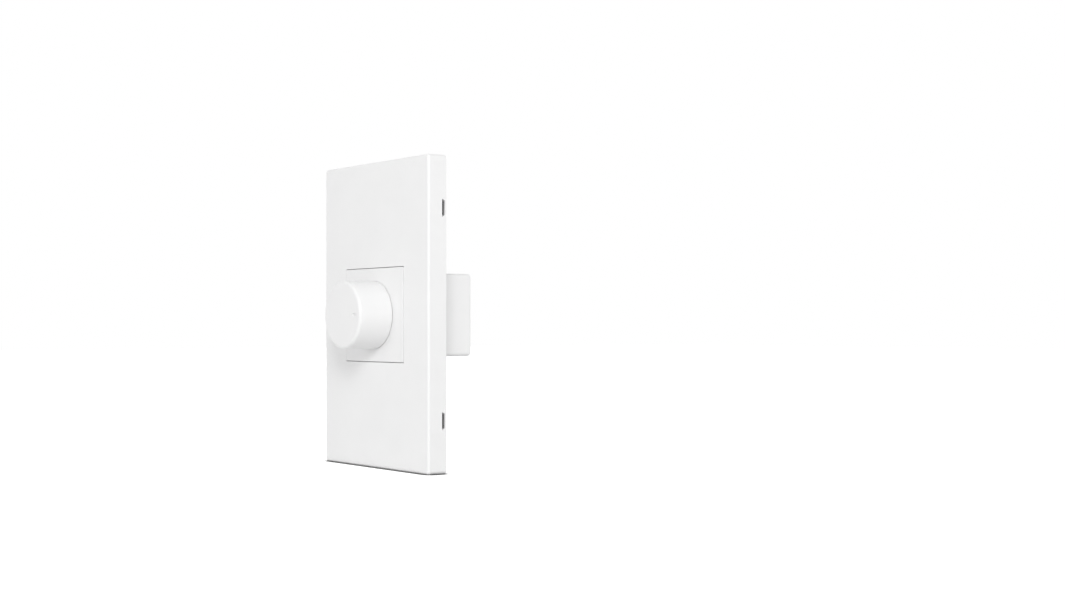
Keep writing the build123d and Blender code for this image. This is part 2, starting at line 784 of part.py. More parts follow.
# Terminals: three bent strips from the tongue's back to the circuit board
strip_top = -can_radius - track_clearance
with BuildPart() as pot_terminals:
    for terminal_x in (-terminal_pitch, 0, terminal_pitch):
        with BuildSketch(Plane.YZ.offset(terminal_x - terminal_width / 2)):
            with BuildLine():
                Polyline(
                    (-track_back, strip_top),
                    (-track_back, leg_z - terminal_thickness / 2),
                    (-tail_back, leg_z - terminal_thickness / 2),
                    (-tail_back, leg_z + terminal_thickness / 2),
                    (terminal_thickness - track_back, leg_z + terminal_thickness / 2),
                    (terminal_thickness - track_back, strip_top),
                    close=True,
                )
            make_face()
        extrude(amount=terminal_width)
pot_terminals.part.label = "pot_terminals"
export_step(pot_terminals.part, "parts/pot_terminals.step")

# Rotor: a moulded disc with its stop lug and the pin that drives the switch
rotor_lug_tip = can_radius - can_wall - lug_tip_clearance
rotor_lug_width = 2 * rotor_lug_tip * sin(radians(rotor_lug_half_angle))
with BuildPart() as pot_rotor:
    with BuildSketch(Plane.XZ.offset(rotor_back)):
        Circle(rotor_lug_tip)
        Rectangle(rotor_lug_tip, rotor_lug_width, align=(Align.MIN, Align.CENTER), mode=Mode.INTERSECT)
        Circle(rotor_radius)
    extrude(amount=rotor_front - rotor_back)
    with BuildSketch(Plane.XZ.offset(rotor_back)):
        Circle(shaft_radius + hub_clearance)
        Rectangle(
            shaft_tail_width + 2 * hub_clearance, 2 * (shaft_radius + hub_clearance), mode=Mode.INTERSECT
        )
    extrude(amount=rotor_front - rotor_back, mode=Mode.SUBTRACT)
    with BuildSketch(Plane.XZ.offset(lever_back)):
        with Locations((-drive_pin_circle, 0)):
            Circle(drive_pin_radius)
    extrude(amount=rotor_back - lever_back)
pot_rotor.part.label = "pot_rotor"
export_step(pot_rotor.part, "parts/pot_rotor.step")

# Wiper: a springy ring on the rotor with two pads that run on the track
wiper_circle = (rotor_radius + collar_radius) / 2
wiper_pad_front = track_back - wiper_gap
with BuildPart() as pot_wiper:
    with BuildSketch(Plane.XZ.offset(rotor_front)):
        Circle(rotor_radius - track_clearance)
        Circle(collar_radius + collar_clearance, mode=Mode.SUBTRACT)
    extrude(amount=wiper_thickness)
    with BuildSketch(Plane.XZ.offset(rotor_front)):
        with PolarLocations(wiper_circle, 2):
            Rectangle(wiper_pad_width, wiper_pad_length)
    extrude(amount=wiper_pad_front - rotor_front)
pot_wiper.part.label = "pot_wiper"
export_step(pot_wiper.part, "parts/pot_wiper.step")

# Switch body: a moulded cup behind the can, with the lever's pivot and slots for the blades
with BuildPart() as switch_body:
    with BuildSketch(Plane.XZ.offset(switch_back)):
        Circle(switch_radius)
    extrude(amount=switch_depth)
    with BuildSketch(Plane.XZ.offset(switch_inside)):
        Circle(switch_inner_radius)
    extrude(amount=switch_depth - switch_floor, mode=Mode.SUBTRACT)
    with BuildSketch(Plane.XZ.offset(switch_inside)):
        with Locations(pivot):
            Circle(pivot_radius)
    extrude(amount=can_back - switch_inside)
    with BuildSketch(Plane.XZ.offset(switch_back)):
        with Locations(blade_centre):
            Rectangle(
                blade_length + 2 * blade_clearance,
                blade_thickness + 2 * blade_clearance,
                rotation=lever_arm_angle,
            )
        with Locations(common_blade):
            Rectangle(blade_thickness + 2 * blade_clearance, blade_length + 2 * blade_clearance)
    extrude(amount=switch_floor, mode=Mode.SUBTRACT)
switch_body.part.label = "switch_body"
export_step(switch_body.part, "parts/switch_body.step")

# Switch lever: hub, toe towards the drive pin, contact arm and detent nose
toe_reach = pivot_height - drive_pin_circle - drive_pin_radius - lever_toe_clearance
with BuildPart() as switch_lever:
    with BuildSketch(Plane.XZ.offset(lever_back)):
        with Locations(pivot):
            Circle(lever_hub_radius)
        with Locations(arm_centre):
            Rectangle(lever_arm_length, lever_arm_width, rotation=lever_arm_angle)
        with Locations(nose_centre):
            Rectangle(lever_nose_radius, lever_toe_width, rotation=lever_arm_angle)
        with Locations(pivot):
            with PolarLocations(toe_reach / 2, 1, start_angle=lever_toe_angle):
                Rectangle(toe_reach, lever_toe_width)
        with Locations(pivot):
            Circle(pivot_radius + lever_clearance, mode=Mode.SUBTRACT)
    extrude(amount=lever_front - lever_back)
switch_lever.part.label = "switch_lever"
export_step(switch_lever.part, "parts/switch_lever.step")

# Moving contact on the lever's arm
with BuildPart() as switch_contact:
    with BuildSketch(Plane.XZ.offset(lever_back)):
        with Locations(contact_centre):
            Rectangle(contact_length, contact_thickness, rotation=lever_arm_angle)
    extrude(amount=lever_front - lever_back)
switch_contact.part.label = "switch_contact"
export_step(switch_contact.part, "parts/switch_contact.step")

# Fixed contact blade and the common blade, through the switch's floor to the board
with BuildPart() as switch_terminals:
    with BuildSketch(Plane.XZ.offset(tail_back)):
        with Locations(blade_centre):
            Rectangle(blade_length, blade_thickness, rotation=lever_arm_angle)
        with Locations(common_blade):
            Rectangle(blade_thickness, blade_length)
    extrude(amount=lever_front - tail_back)
switch_terminals.part.label = "switch_terminals"
export_step(switch_terminals.part, "parts/switch_terminals.step")

# Detent spring: a bent leaf that stands on the common blade and reaches the lever's nose
detent_x = -lever_nose_radius - detent_gap - detent_thickness
detent_base_x = common_blade_x + blade_thickness / 2 + detent_thickness / 2
with BuildPart() as switch_spring:
    with BuildSketch(Plane.XZ.offset(lever_back)):
        with BuildLine() as detent_line:
            Polyline(
                (detent_base_x, common_blade_z - blade_length / 2),
                (detent_base_x, common_blade_z + blade_length / 2),
                (detent_x, pivot_height),
                (detent_x - detent_tail, pivot_height + lever_hub_radius),
            )
        trace(detent_line.line, line_width=detent_thickness)
    extrude(amount=lever_front - lever_back)
switch_spring.part.label = "switch_spring"
export_step(switch_spring.part, "parts/switch_spring.step")

# Circuit board with the holes for every lead
with BuildPart() as circuit_board:
    with BuildSketch(Plane.XZ.offset(board_back)):
        Rectangle(board_width, board_height)
        with Locations((0, leg_z)):
            with GridLocations(terminal_pitch, 0, 3, 1):
                Rectangle(
                    terminal_width + 2 * lead_slot_clearance,
                    terminal_thickness + 2 * lead_slot_clearance,
                    mode=Mode.SUBTRACT,
                )
        with Locations(blade_centre):
            Rectangle(
                blade_length + 2 * lead_slot_clearance,
                blade_thickness + 2 * lead_slot_clearance,
                rotation=lever_arm_angle,
                mode=Mode.SUBTRACT,
            )
        with Locations(common_blade):
            Rectangle(
                blade_thickness + 2 * lead_slot_clearance,
                blade_length + 2 * lead_slot_clearance,
                mode=Mode.SUBTRACT,
            )
        with Locations((0, cage_leg_z)):
            with GridLocations(cage_pitch, 0, cage_count, 1):
                Rectangle(
                    cage_leg_width + 2 * lead_slot_clearance,
                    cage_leg_thickness + 2 * lead_slot_clearance,
                    mode=Mode.SUBTRACT,
                )
        with Locations((device_x, device_lead_z)):
            with GridLocations(device_lead_pitch, 0, 3, 1):
                Rectangle(
                    device_lead_width + 2 * lead_slot_clearance,
                    device_lead_thickness + 2 * lead_slot_clearance,
                    mode=Mode.SUBTRACT,
                )
        with Locations((filter_x, filter_z)):
            with GridLocations(0, filter_lead_pitch, 1, 2):
                RegularPolygon(lead_hole_radius, lead_sides, mode=Mode.SUBTRACT)
        with Locations((choke_x, choke_z)):
            with Locations(*choke_lead_places):
                RegularPolygon(lead_hole_radius, lead_sides, mode=Mode.SUBTRACT)
        with Locations((timing_x, 0)):
            with GridLocations(0, timing_lead_pitch, 1, 2):
                RegularPolygon(lead_hole_radius, lead_sides, mode=Mode.SUBTRACT)
        with Locations((diac_x, 0), (inner_resistor_x, 0), (outer_resistor_x, 0)):
            with GridLocations(0, axial_lead_pitch, 1, 2):
                RegularPolygon(lead_hole_radius, lead_sides, mode=Mode.SUBTRACT)
    extrude(amount=board_thickness)
circuit_board.part.label = "circuit_board"
export_step(circuit_board.part, "parts/circuit_board.step")

# Power device: the moulded case, and the tab with its three leads
case_z = device_tab_bottom + device_body_length / 2
with BuildPart() as triac_case:
    with BuildSketch(Plane.XZ.offset(device_back + device_tab_thickness)):
        with Locations((device_x, case_z)):
            Rectangle(device_width, device_body_length)
    extrude(amount=device_body_thickness, taper=3)
triac_case.part.label = "triac_case"
export_step(triac_case.part, "parts/triac_case.step")

with BuildPart() as triac_leadframe:
    with BuildSketch(Plane.XZ.offset(device_back)):
        with Locations((device_x, device_tab_top - device_tab_length / 2)):
            Rectangle(device_width, device_tab_length)
        with Locations((device_x, device_hole_z)):
            Circle(device_hole_radius, mode=Mode.SUBTRACT)
    extrude(amount=device_tab_thickness)
    for lead_x in (device_x - device_lead_pitch, device_x, device_x + device_lead_pitch):
        with BuildSketch(Plane.YZ.offset(lead_x - device_lead_width / 2)):
            with BuildLine():
                Polyline(
                    (-device_lead_height, device_tab_bottom),
                    (-device_lead_height, device_lead_z - device_lead_thickness / 2),
                    (-board_front - lead_tail, device_lead_z - device_lead_thickness / 2),
                    (-board_front - lead_tail, device_lead_z + device_lead_thickness / 2),
                    (-device_lead_height - device_lead_thickness, device_lead_z + device_lead_thickness / 2),
                    (-device_lead_height - device_lead_thickness, device_tab_bottom),
                    close=True,
                )
            make_face()
        extrude(amount=device_lead_width)
triac_leadframe.part.label = "triac_leadframe"
export_step(triac_leadframe.part, "parts/triac_leadframe.step")

# Heat sink: a folded channel on the tab, with two fins and two feet on the board
with BuildPart() as heat_sink:
    with BuildSketch(Plane.XZ.offset(sink_back)):
        with Locations((device_x, sink_z)):
            Rectangle(sink_width, sink_height)
        with Locations((device_x, device_hole_z)):
            Circle(sink_screw_radius + screw_clearance, mode=Mode.SUBTRACT)
    extrude(amount=sink_thickness)
    with BuildSketch(Plane.XZ.offset(sink_back - sink_fin_depth)):
        with Locations((device_x, sink_fin_z)):
            with GridLocations(2 * sink_wall_x, 0, 2, 1):
                Rectangle(sink_thickness, sink_fin_height)
    extrude(amount=sink_fin_depth)
    with BuildSketch(Plane.XZ.offset(device_back)):
        with Locations((device_x, sink_bottom + sink_leg_length / 2)):
            with GridLocations(2 * sink_wall_x, 0, 2, 1):
                Rectangle(sink_thickness, sink_leg_length)
    extrude(amount=board_back - device_back)
heat_sink.part.label = "heat_sink"
export_step(heat_sink.part, "parts/heat_sink.step")

with BuildPart() as heat_sink_screw:
    with BuildSketch(Plane.XZ.offset(sink_back - sink_screw_head)):
        with Locations((device_x, device_hole_z)):
            Circle(sink_screw_head_radius)
    extrude(amount=sink_screw_head)
    with BuildSketch(Plane.XZ.offset(sink_back)):
        with Locations((device_x, device_hole_z)):
            Circle(sink_screw_radius)
    extrude(amount=sink_thickness + device_tab_thickness + sink_nut_thickness)
    with BuildSketch(Plane.XZ.offset(sink_back - sink_screw_head)):
        with Locations((device_x, device_hole_z)):
            Rectangle(2 * sink_screw_head_radius, driver_slot_width)
    extrude(amount=driver_slot_depth, mode=Mode.SUBTRACT)
heat_sink_screw.part.label = "heat_sink_screw"
export_step(heat_sink_screw.part, "parts/heat_sink_screw.step")

with BuildPart() as heat_sink_nut:
    with BuildSketch(Plane.XZ.offset(device_back + device_tab_thickness)):
        with Locations((device_x, device_hole_z)):
            RegularPolygon(sink_nut_flats / 2, 6, major_radius=False)
            Circle(sink_screw_radius + thread_clearance, mode=Mode.SUBTRACT)
    extrude(amount=sink_nut_thickness)
heat_sink_nut.part.label = "heat_sink_nut"
export_step(heat_sink_nut.part, "parts/heat_sink_nut.step")

# Choke: a ring core with a winding sleeve that leaves a gap between its two ends
core_back = seat_height - winding_grow - choke_height
choke_axis = Axis((choke_x, 0, choke_z), (0, 1, 0))
with BuildPart() as choke_core:
    with BuildSketch(Plane.XZ.offset(core_back)):
        with Locations((choke_x, choke_z)):
            Circle(choke_outer_radius)
            Circle(choke_inner_radius, mode=Mode.SUBTRACT)
    extrude(amount=choke_height)
choke_core.part.label = "choke_core"
export_step(choke_core.part, "parts/choke_core.step")

core_width = choke_outer_radius - choke_inner_radius
core_middle = choke_x + choke_ring_radius
with BuildPart() as choke_winding:
    with BuildSketch(Plane.XY.offset(choke_z)):
        with Locations((core_middle, -core_back - choke_height / 2)):
            Rectangle(core_width + 2 * winding_grow, choke_height + 2 * winding_grow)
            Rectangle(
                core_width + 2 * winding_clearance,
                choke_height + 2 * winding_clearance,
                mode=Mode.SUBTRACT,
            )
    revolve(axis=choke_axis, revolution_arc=winding_angle)
    with BuildSketch(Plane.XZ.offset(seat_height - winding_thickness / 2)):
        with Locations((choke_x, choke_z)):
            with Locations(*choke_lead_places):
                RegularPolygon(lead_radius, lead_sides)
    extrude(amount=board_front + lead_tail - seat_height + winding_thickness / 2)
choke_winding.part.label = "choke_winding"
export_step(choke_winding.part, "parts/choke_winding.step")

# Film capacitors: moulded boxes on two leads each
with BuildPart() as filter_capacitor:
    with BuildSketch(Plane.XZ.offset(seat_height - filter_depth)):
        with Locations((filter_x, filter_z)):
            Rectangle(filter_width, filter_length)
    extrude(amount=filter_depth)
    chamfer(filter_capacitor.faces().sort_by(Axis.Y)[-1].edges(), component_chamfer)
    with BuildSketch(Plane.XZ.offset(seat_height)):
        with Locations((filter_x, filter_z)):
            with GridLocations(0, filter_lead_pitch, 1, 2):
                RegularPolygon(lead_radius, lead_sides)
    extrude(amount=board_front + lead_tail - seat_height)
filter_capacitor.part.label = "filter_capacitor"
export_step(filter_capacitor.part, "parts/filter_capacitor.step")

with BuildPart() as timing_capacitor:
    with BuildSketch(Plane.XZ.offset(board_front)):
        with Locations((timing_x, 0)):
            Rectangle(timing_width, timing_length)
    extrude(amount=timing_depth)
    chamfer(timing_capacitor.faces().sort_by(Axis.Y)[0].edges(), component_chamfer)
    with BuildSketch(Plane.XZ.offset(tail_back)):
        with Locations((timing_x, 0)):
            with GridLocations(0, timing_lead_pitch, 1, 2):
                RegularPolygon(lead_radius, lead_sides)
    extrude(amount=board_front - tail_back)
timing_capacitor.part.label = "timing_capacitor"
export_step(timing_capacitor.part, "parts/timing_capacitor.step")

# Axial components: round bodies along Z on two bent leads
axial_height = board_front + resistor_height
with BuildPart() as resistors:
    for place_x in (inner_resistor_x, outer_resistor_x):
        with BuildSketch(Plane.XY.offset(-resistor_length / 2)):
            with Locations((place_x, -axial_height)):
                Circle(resistor_radius)
        extrude(amount=resistor_length)
        with BuildSketch(Plane.XY.offset(-axial_lead_pitch / 2 - lead_radius)):
            with Locations((place_x, -axial_height)):
                RegularPolygon(lead_radius, lead_sides)
        extrude(amount=axial_lead_pitch + 2 * lead_radius)
    with BuildSketch(Plane.XZ.offset(tail_back)):
        with Locations((inner_resistor_x, 0), (outer_resistor_x, 0)):
            with GridLocations(0, axial_lead_pitch, 1, 2):
                RegularPolygon(lead_radius, lead_sides)
    extrude(amount=axial_height - tail_back)
resistors.part.label = "resistors"
export_step(resistors.part, "parts/resistors.step")

with BuildPart() as diac:
    with BuildSketch(Plane.XY.offset(-diac_length / 2)):
        with Locations((diac_x, -axial_height)):
            Circle(diac_radius)
    extrude(amount=diac_length)
    with BuildSketch(Plane.XY.offset(-axial_lead_pitch / 2 - lead_radius)):
        with Locations((diac_x, -axial_height)):
            Circle(lead_radius)
    extrude(amount=axial_lead_pitch + 2 * lead_radius)
    with BuildSketch(Plane.XZ.offset(tail_back)):
        with Locations((diac_x, 0)):
            with GridLocations(0, axial_lead_pitch, 1, 2):
                RegularPolygon(lead_radius, lead_sides)
    extrude(amount=axial_height - tail_back)
diac.part.label = "diac"
export_step(diac.part, "parts/diac.step")

# Wire terminals: brass cages with a wire hole, a screw hole and a solder leg
with BuildPart() as terminal_cages:
    with BuildSketch(Plane.XZ.offset(cage_back)):
        with Locations((0, cage_z)):
            with GridLocations(cage_pitch, 0, cage_count, 1):
                Rectangle(cage_width, cage_length)
    extrude(amount=cage_depth)
    with BuildSketch(Plane.XZ.offset(cage_front)):
        with Locations((0, cage_leg_z)):
            with GridLocations(cage_pitch, 0, cage_count, 1):
                Rectangle(cage_leg_width, cage_leg_thickness)
    extrude(amount=board_front + lead_tail - cage_front)
    with BuildSketch(Plane.XY.offset(cage_bottom)):
        with Locations((0, -(cage_back + cage_front) / 2)):
            with GridLocations(cage_pitch, 0, cage_count, 1):
                Circle(wire_hole_radius)
    extrude(amount=cage_length, mode=Mode.SUBTRACT)
    with BuildSketch(Plane.XZ.offset(cage_back)):
        with Locations((0, cage_z)):
            with GridLocations(cage_pitch, 0, cage_count, 1):
                Circle(terminal_screw_radius + screw_clearance)
    extrude(amount=cage_depth / 2, mode=Mode.SUBTRACT)
terminal_cages.part.label = "terminal_cages"
export_step(terminal_cages.part, "parts/terminal_cages.step")

# Terminal screws: slotted cheese-head screws, backed off so that the wire holes are clear
screw_top = terminal_screw_recess - module_reach
screw_seat = screw_top + terminal_screw_head
screw_tip = cage_back + cage_depth / 2 - wire_hole_radius - screw_tip_clearance
with BuildPart() as terminal_screws:
    with BuildSketch(Plane.XZ.offset(screw_top)):
        with Locations((0, cage_z)):
            with GridLocations(cage_pitch, 0, cage_count, 1):
                Circle(terminal_screw_head_radius)
    extrude(amount=terminal_screw_head)
    with BuildSketch(Plane.XZ.offset(screw_seat)):
        with Locations((0, cage_z)):
            with GridLocations(cage_pitch, 0, cage_count, 1):
                Circle(terminal_screw_radius)
    extrude(amount=screw_tip - screw_seat)
    with BuildSketch(Plane.XZ.offset(screw_top)):
        with Locations((0, cage_z)):
            with GridLocations(cage_pitch, 0, cage_count, 1):
                Rectangle(2 * terminal_screw_head_radius, driver_slot_width)
    extrude(amount=driver_slot_depth, mode=Mode.SUBTRACT)
terminal_screws.part.label = "terminal_screws"
export_step(terminal_screws.part, "parts/terminal_screws.step")
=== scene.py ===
"""The looks of a rotary wall dimmer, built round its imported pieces.

The dimmer stands upright on a pale floor. Its front faces -Y, +X is to the right as seen from the front and
+Z is up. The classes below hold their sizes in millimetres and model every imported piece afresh, with the fine
edges, bends, threads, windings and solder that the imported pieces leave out.
"""

import logging
import math
from collections.abc import Callable, Iterable, Sequence
from dataclasses import dataclass
from enum import Enum
from itertools import product

import bmesh
import bpy
from mathutils import Matrix, Vector


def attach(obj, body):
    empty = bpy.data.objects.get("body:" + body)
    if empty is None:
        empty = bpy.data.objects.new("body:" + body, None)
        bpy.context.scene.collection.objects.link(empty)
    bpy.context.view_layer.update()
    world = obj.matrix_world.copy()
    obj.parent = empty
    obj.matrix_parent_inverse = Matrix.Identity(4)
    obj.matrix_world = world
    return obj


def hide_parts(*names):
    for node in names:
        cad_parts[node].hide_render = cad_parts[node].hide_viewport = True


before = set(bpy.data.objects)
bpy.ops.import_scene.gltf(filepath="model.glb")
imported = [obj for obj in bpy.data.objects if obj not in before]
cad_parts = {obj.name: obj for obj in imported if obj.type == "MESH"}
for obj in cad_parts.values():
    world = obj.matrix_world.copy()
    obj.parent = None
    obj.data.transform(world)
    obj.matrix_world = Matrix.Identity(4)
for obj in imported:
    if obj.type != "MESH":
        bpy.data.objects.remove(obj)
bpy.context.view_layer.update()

LOG = logging.getLogger("dimmer")
MM = 0.001
SIDES = (-1, 1)
PARALLEL = 0.9
TOUCH = 0.01
ALMOST = 0.999
FLAT_ANGLE = 0.5
SMOOTH_ANGLE = 50.0
CLOUD = (0.3, 0.7)

Pair = tuple[float, float]
Point = tuple[float, float, float]
Colour = tuple[float, float, float]
Shape = bpy.types.Object
Socket = bpy.types.NodeSocket
Test = Callable[[Vector, Vector], bool]


class Cut(Enum):
    """What a tool solid does to the piece it meets."""

    JOIN = "UNION"
    REMOVE = "DIFFERENCE"
    KEEP_COMMON = "INTERSECT"


class Along(Enum):
    """The axis that a round piece or an edge lies along."""

    X = 0
    Y = 1
    Z = 2


def picks(along: Along | None = None, **limits: float) -> Test:
    """Makes a test of faces, edges or corners by their direction and place.

    Args:
        along: The axis that a face looks along or an edge lies along, where it matters.
        **limits: What the place mustn't pass, in millimetres, such as min_x or max_z.

    Returns:
        The test, which takes an element's middle in millimetres and its direction.
    """
    signs = {"min": -1, "max": 1}
    bounds = [(signs[name[:3]], "xyz".index(name[-1]), limit) for name, limit in limits.items()]

    def test(middle: Vector, direction: Vector) -> bool:
        """Says whether an element is picked."""
        right = along is None or abs(direction[along.value]) > PARALLEL
        return right and all(sign * (middle[axis] - limit) < TOUCH for sign, axis, limit in bounds)

    return test


class Bench:
    """The modelling steps that the pieces share. Every size and place that it takes is in millimetres."""

    WELD = 2e-6
    TRIES = 5

    @staticmethod
    def activate(piece: Shape) -> None:
        """Selects one piece alone and makes it the active one."""
        bpy.ops.object.select_all(action="DESELECT")
        piece.select_set(True)
        bpy.context.view_layer.objects.active = piece

    @staticmethod
    def settle(name: str) -> Shape:
        """Names the new primitive and moves its place, turn and scale into its mesh.

        Args:
            name: The name of the piece.

        Returns:
            The primitive, with its object at the origin.
        """
        piece = bpy.context.view_layer.objects.active
        piece.name = name
        piece.data.name = name
        Bench.activate(piece)
        bpy.ops.object.transform_apply(location=True, rotation=True, scale=True)
        return piece

    @staticmethod
    def block(name: str, corner: Point, opposite: Point) -> Shape:
        """Adds a rectangular block.

        Args:
            name: The name of the piece.
            corner: One of its corners.
            opposite: The corner opposite to it.

        Returns:
            The block.
        """
        low, high = (Vector([end(pair) for pair in zip(corner, opposite)]) * MM for end in (min, max))
        bpy.ops.object.select_all(action="DESELECT")
        bpy.ops.mesh.primitive_cube_add(size=1, location=(low + high) / 2, scale=high - low)
        return Bench.settle(name)

    @staticmethod
    def slab(name: str, size: Pair, ys: Pair, at: Pair = (0.0, 0.0)) -> Shape:
        """Adds a block by its place in X and Z and its ends in Y.

        Args:
            name: The name of the piece.
            size: Its sizes along X and Z.
            ys: The Y of its two ends.
            at: The X and Z of its middle.

        Returns:
            The block.
        """
        (wide, tall), (x, z) = size, at
        return Bench.block(name, (x - wide / 2, ys[0], z - tall / 2), (x + wide / 2, ys[1], z + tall / 2))

    @staticmethod
    def pill(name: str, size: Pair, ys: Pair, at: Pair, steps: int = 16) -> Shape:
        """Adds a slab with round ends, each rounded in steps."""
        piece = Bench.slab(name, size, ys, at)
        Bench.round_edges(piece, min(size) / 2 * ALMOST, steps, picks(Along.Y))
        return piece

    @staticmethod
    def drum(
        name: str, radius: float, start: Point, length: float, along: Along = Along.Y, sides: int = 64
    ) -> Shape:
        """Adds a round drum.

        Args:
            name: The name of the piece.
            radius: Its radius.
            start: The middle of its end with the lowest coordinate.
            length: Its length.
            along: The axis that it lies along.
            sides: How many sides stand for the round.

        Returns:
            The drum.
        """
        middle = Vector(start)
        middle[along.value] += length / 2
        turn = {
            Along.X: (0, math.pi / 2, 0),
            Along.Y: (math.pi / 2, 0, 0),
            Along.Z: (0, 0, 0),
        }[along]
        bpy.ops.object.select_all(action="DESELECT")
        bpy.ops.mesh.primitive_cylinder_add(
            vertices=sides, radius=radius * MM, depth=length * MM, location=middle * MM, rotation=turn
        )
        return Bench.settle(name)

    @staticmethod
    def draw(name: str, points: Sequence[Point], loop: bool) -> Shape:
        """Draws an outline, point by point, and stays in edit mode with its last corner selected.

        Args:
            name: The name of the piece.
            points: Its corners.
            loop: Whether the outline returns to its first corner.

        Returns:
            The outline.
        """
        bpy.ops.object.select_all(action="DESELECT")
        bpy.ops.mesh.primitive_plane_add(size=MM, location=Vector(points[0]) * MM)
        piece = Bench.settle(name)
        bpy.ops.object.mode_set(mode="EDIT")
        bpy.ops.mesh.select_mode(type="VERT")
        bpy.ops.mesh.select_all(action="SELECT")
        bpy.ops.mesh.merge(type="CENTER")
        path = [*points, points[0]] if loop else list(points)
        for here, there in zip(path, path[1:]):
            step = Vector(there) - Vector(here)
            Bench.extrude(step)
        bpy.ops.mesh.select_all(action="SELECT")
        bpy.ops.mesh.remove_doubles(threshold=Bench.WELD)
        return piece

    @staticmethod
    def prism(name: str, points: Sequence[Point], push: Point) -> Shape:
        """Extrudes a flat outline.

        Args:
            name: The name of the piece.
            points: The outline's corners, in order.
            push: How far and which way it is extruded.

        Returns:
            The prism.
        """
        piece = Bench.draw(name, points, True)
        bpy.ops.mesh.edge_face_add()
        Bench.extrude(push)
        bpy.ops.mesh.select_all(action="SELECT")
        bpy.ops.mesh.normals_make_consistent(inside=False)
        Bench.close()
        return piece

    @staticmethod
    def turned(
        name: str, centre: Point, profile: Sequence[Pair], along: Along = Along.Y, sides: int = 64
    ) -> Shape:
        """Turns a closed profile about an axis, as on a lathe.

        Args:
            name: The name of the piece.
            centre: A point of the axis.
            profile: The profile's corners, each a radius and a coordinate along the axis.
            along: The axis's direction.
            sides: How many sides stand for the round.

        Returns:
            The turned piece.
        """
        across = Vector((0, 1, 0)) if along is Along.X else Vector((1, 0, 0))
        axis = Vector((0, 0, 0))
        axis[along.value] = 1
        foot = Vector(centre)
        foot[along.value] = 0
        points = [tuple(foot + across * radius + axis * level) for radius, level in profile]
        piece = Bench.draw(name, points, True)
        bpy.ops.mesh.spin(steps=sides, angle=2 * math.pi, center=foot * MM, axis=axis)
        bpy.ops.mesh.select_all(action="SELECT")
        bpy.ops.mesh.remove_doubles(threshold=Bench.WELD)
        bpy.ops.mesh.dissolve_degenerate(threshold=Bench.WELD)
        bpy.ops.mesh.delete_loose(use_verts=True, use_edges=True, use_faces=False)
        bpy.ops.mesh.select_all(action="SELECT")
        bpy.ops.mesh.normals_make_consistent(inside=False)
        Bench.close()
        return piece

    @staticmethod
    def ring(name: str, radii: Pair, ys: Pair, sides: int) -> Shape:
        """Turns a ring about the Y axis, or a disc where the first radius is 0.

        Args:
            name: The name of the piece.
            radii: Its inner and outer radius.
            ys: The Y of its two ends.
            sides: How many sides stand for the round.

        Returns:
            The ring.
        """
        (inner, outer), (start, end) = radii, ys
        rim = [(inner, start), (outer, start), (outer, end), (inner, end)]
        return Bench.turned(name, (0, 0, 0), rim, sides=sides)

    @staticmethod
    def countersunk(radius: float, chamfer: float, inner: float, face: float) -> list[Pair]:
        """Works out the half section of a tool that bores a hole and breaks its edge at a face.

        Args:
            radius: The hole's radius.
            chamfer: The width of the broken edge.
            inner: Where the hole ends along its axis.
            face: Where the face is.

        Returns:
            The half section's corners, each a radius and a coordinate along the axis.
        """
        out = 1 if face > inner else -1
        wide, beyond = radius + chamfer, face + out
        hole = [(0, inner), (radius, inner), (radius, face - out * chamfer)]
        return [*hole, (wide, face), (wide, beyond), (0, beyond)]

    @staticmethod
    def bent(route: Sequence[Point], radius: float, steps: int = 6) -> list[Point]:
        """Rounds the corners of a route.

        Args:
            route: Its points.
            radius: The radius of each bend.
            steps: How many stretches stand for a bend.

        Returns:
            The points of the rounded route.
        """
        points = [Vector(point) for point in route]
        made = [points[0]]
        for before, corner, after in zip(points, points[1:], points[2:]):
            back, ahead = (before - corner).normalized(), (after - corner).normalized()
            half = back.angle(ahead) / 2
            middle = corner + (back + ahead).normalized() * (radius / math.sin(half))
            spoke = corner + back * (radius / math.tan(half)) - middle
            sweep = math.pi - 2 * half
            axis = ahead.cross(back)
            made += [middle + Matrix.Rotation(sweep * i / steps, 3, axis) @ spoke for i in range(steps + 1)]
        return [tuple(point) for point in [*made, points[-1]]]

    @staticmethod
    def rounded(profile: Sequence[Pair], radius: float, steps: int = 5) -> list[Pair]:
        """Rounds the inner corners of a half section.

        Args:
            profile: Its corners.
            radius: The radius of each rounding.
            steps: How many stretches stand for a rounding.

        Returns:
            The corners of the rounded half section.
        """
        return [(x, y) for x, y, _ in Bench.bent([(x, y, 0) for x, y in profile], radius, steps)]

    @staticmethod
    def band(name: str, route: Sequence[Pair], width: float, low: float, high: float) -> Shape:
        """Makes a band along a route in X and Z, with mitred corners.

        Args:
            name: The name of the piece.
            route: The X and Z of its middle line's points.
            width: Its width across the route.
            low: Its lowest Y.
            high: Its highest Y.

        Returns:
            The band.
        """
        points = [Vector(place) for place in route]
        lines = [(b - a).normalized() for a, b in zip(points, points[1:])]
        sides: tuple[list[Point], list[Point]] = ([], [])
        for i, point in enumerate(points):
            before, after = lines[max(i - 1, 0)], lines[min(i, len(lines) - 1)]
            middle = (before + after).normalized()
            out = Vector((-middle.y, middle.x)) * (width / 2 / middle.dot(after))
            for side, sign in zip(sides, (1, -1)):
                side.append((point.x + sign * out.x, low, point.y + sign * out.y))
        return Bench.prism(name, [*sides[0], *sides[1][::-1]], (0, high - low, 0))

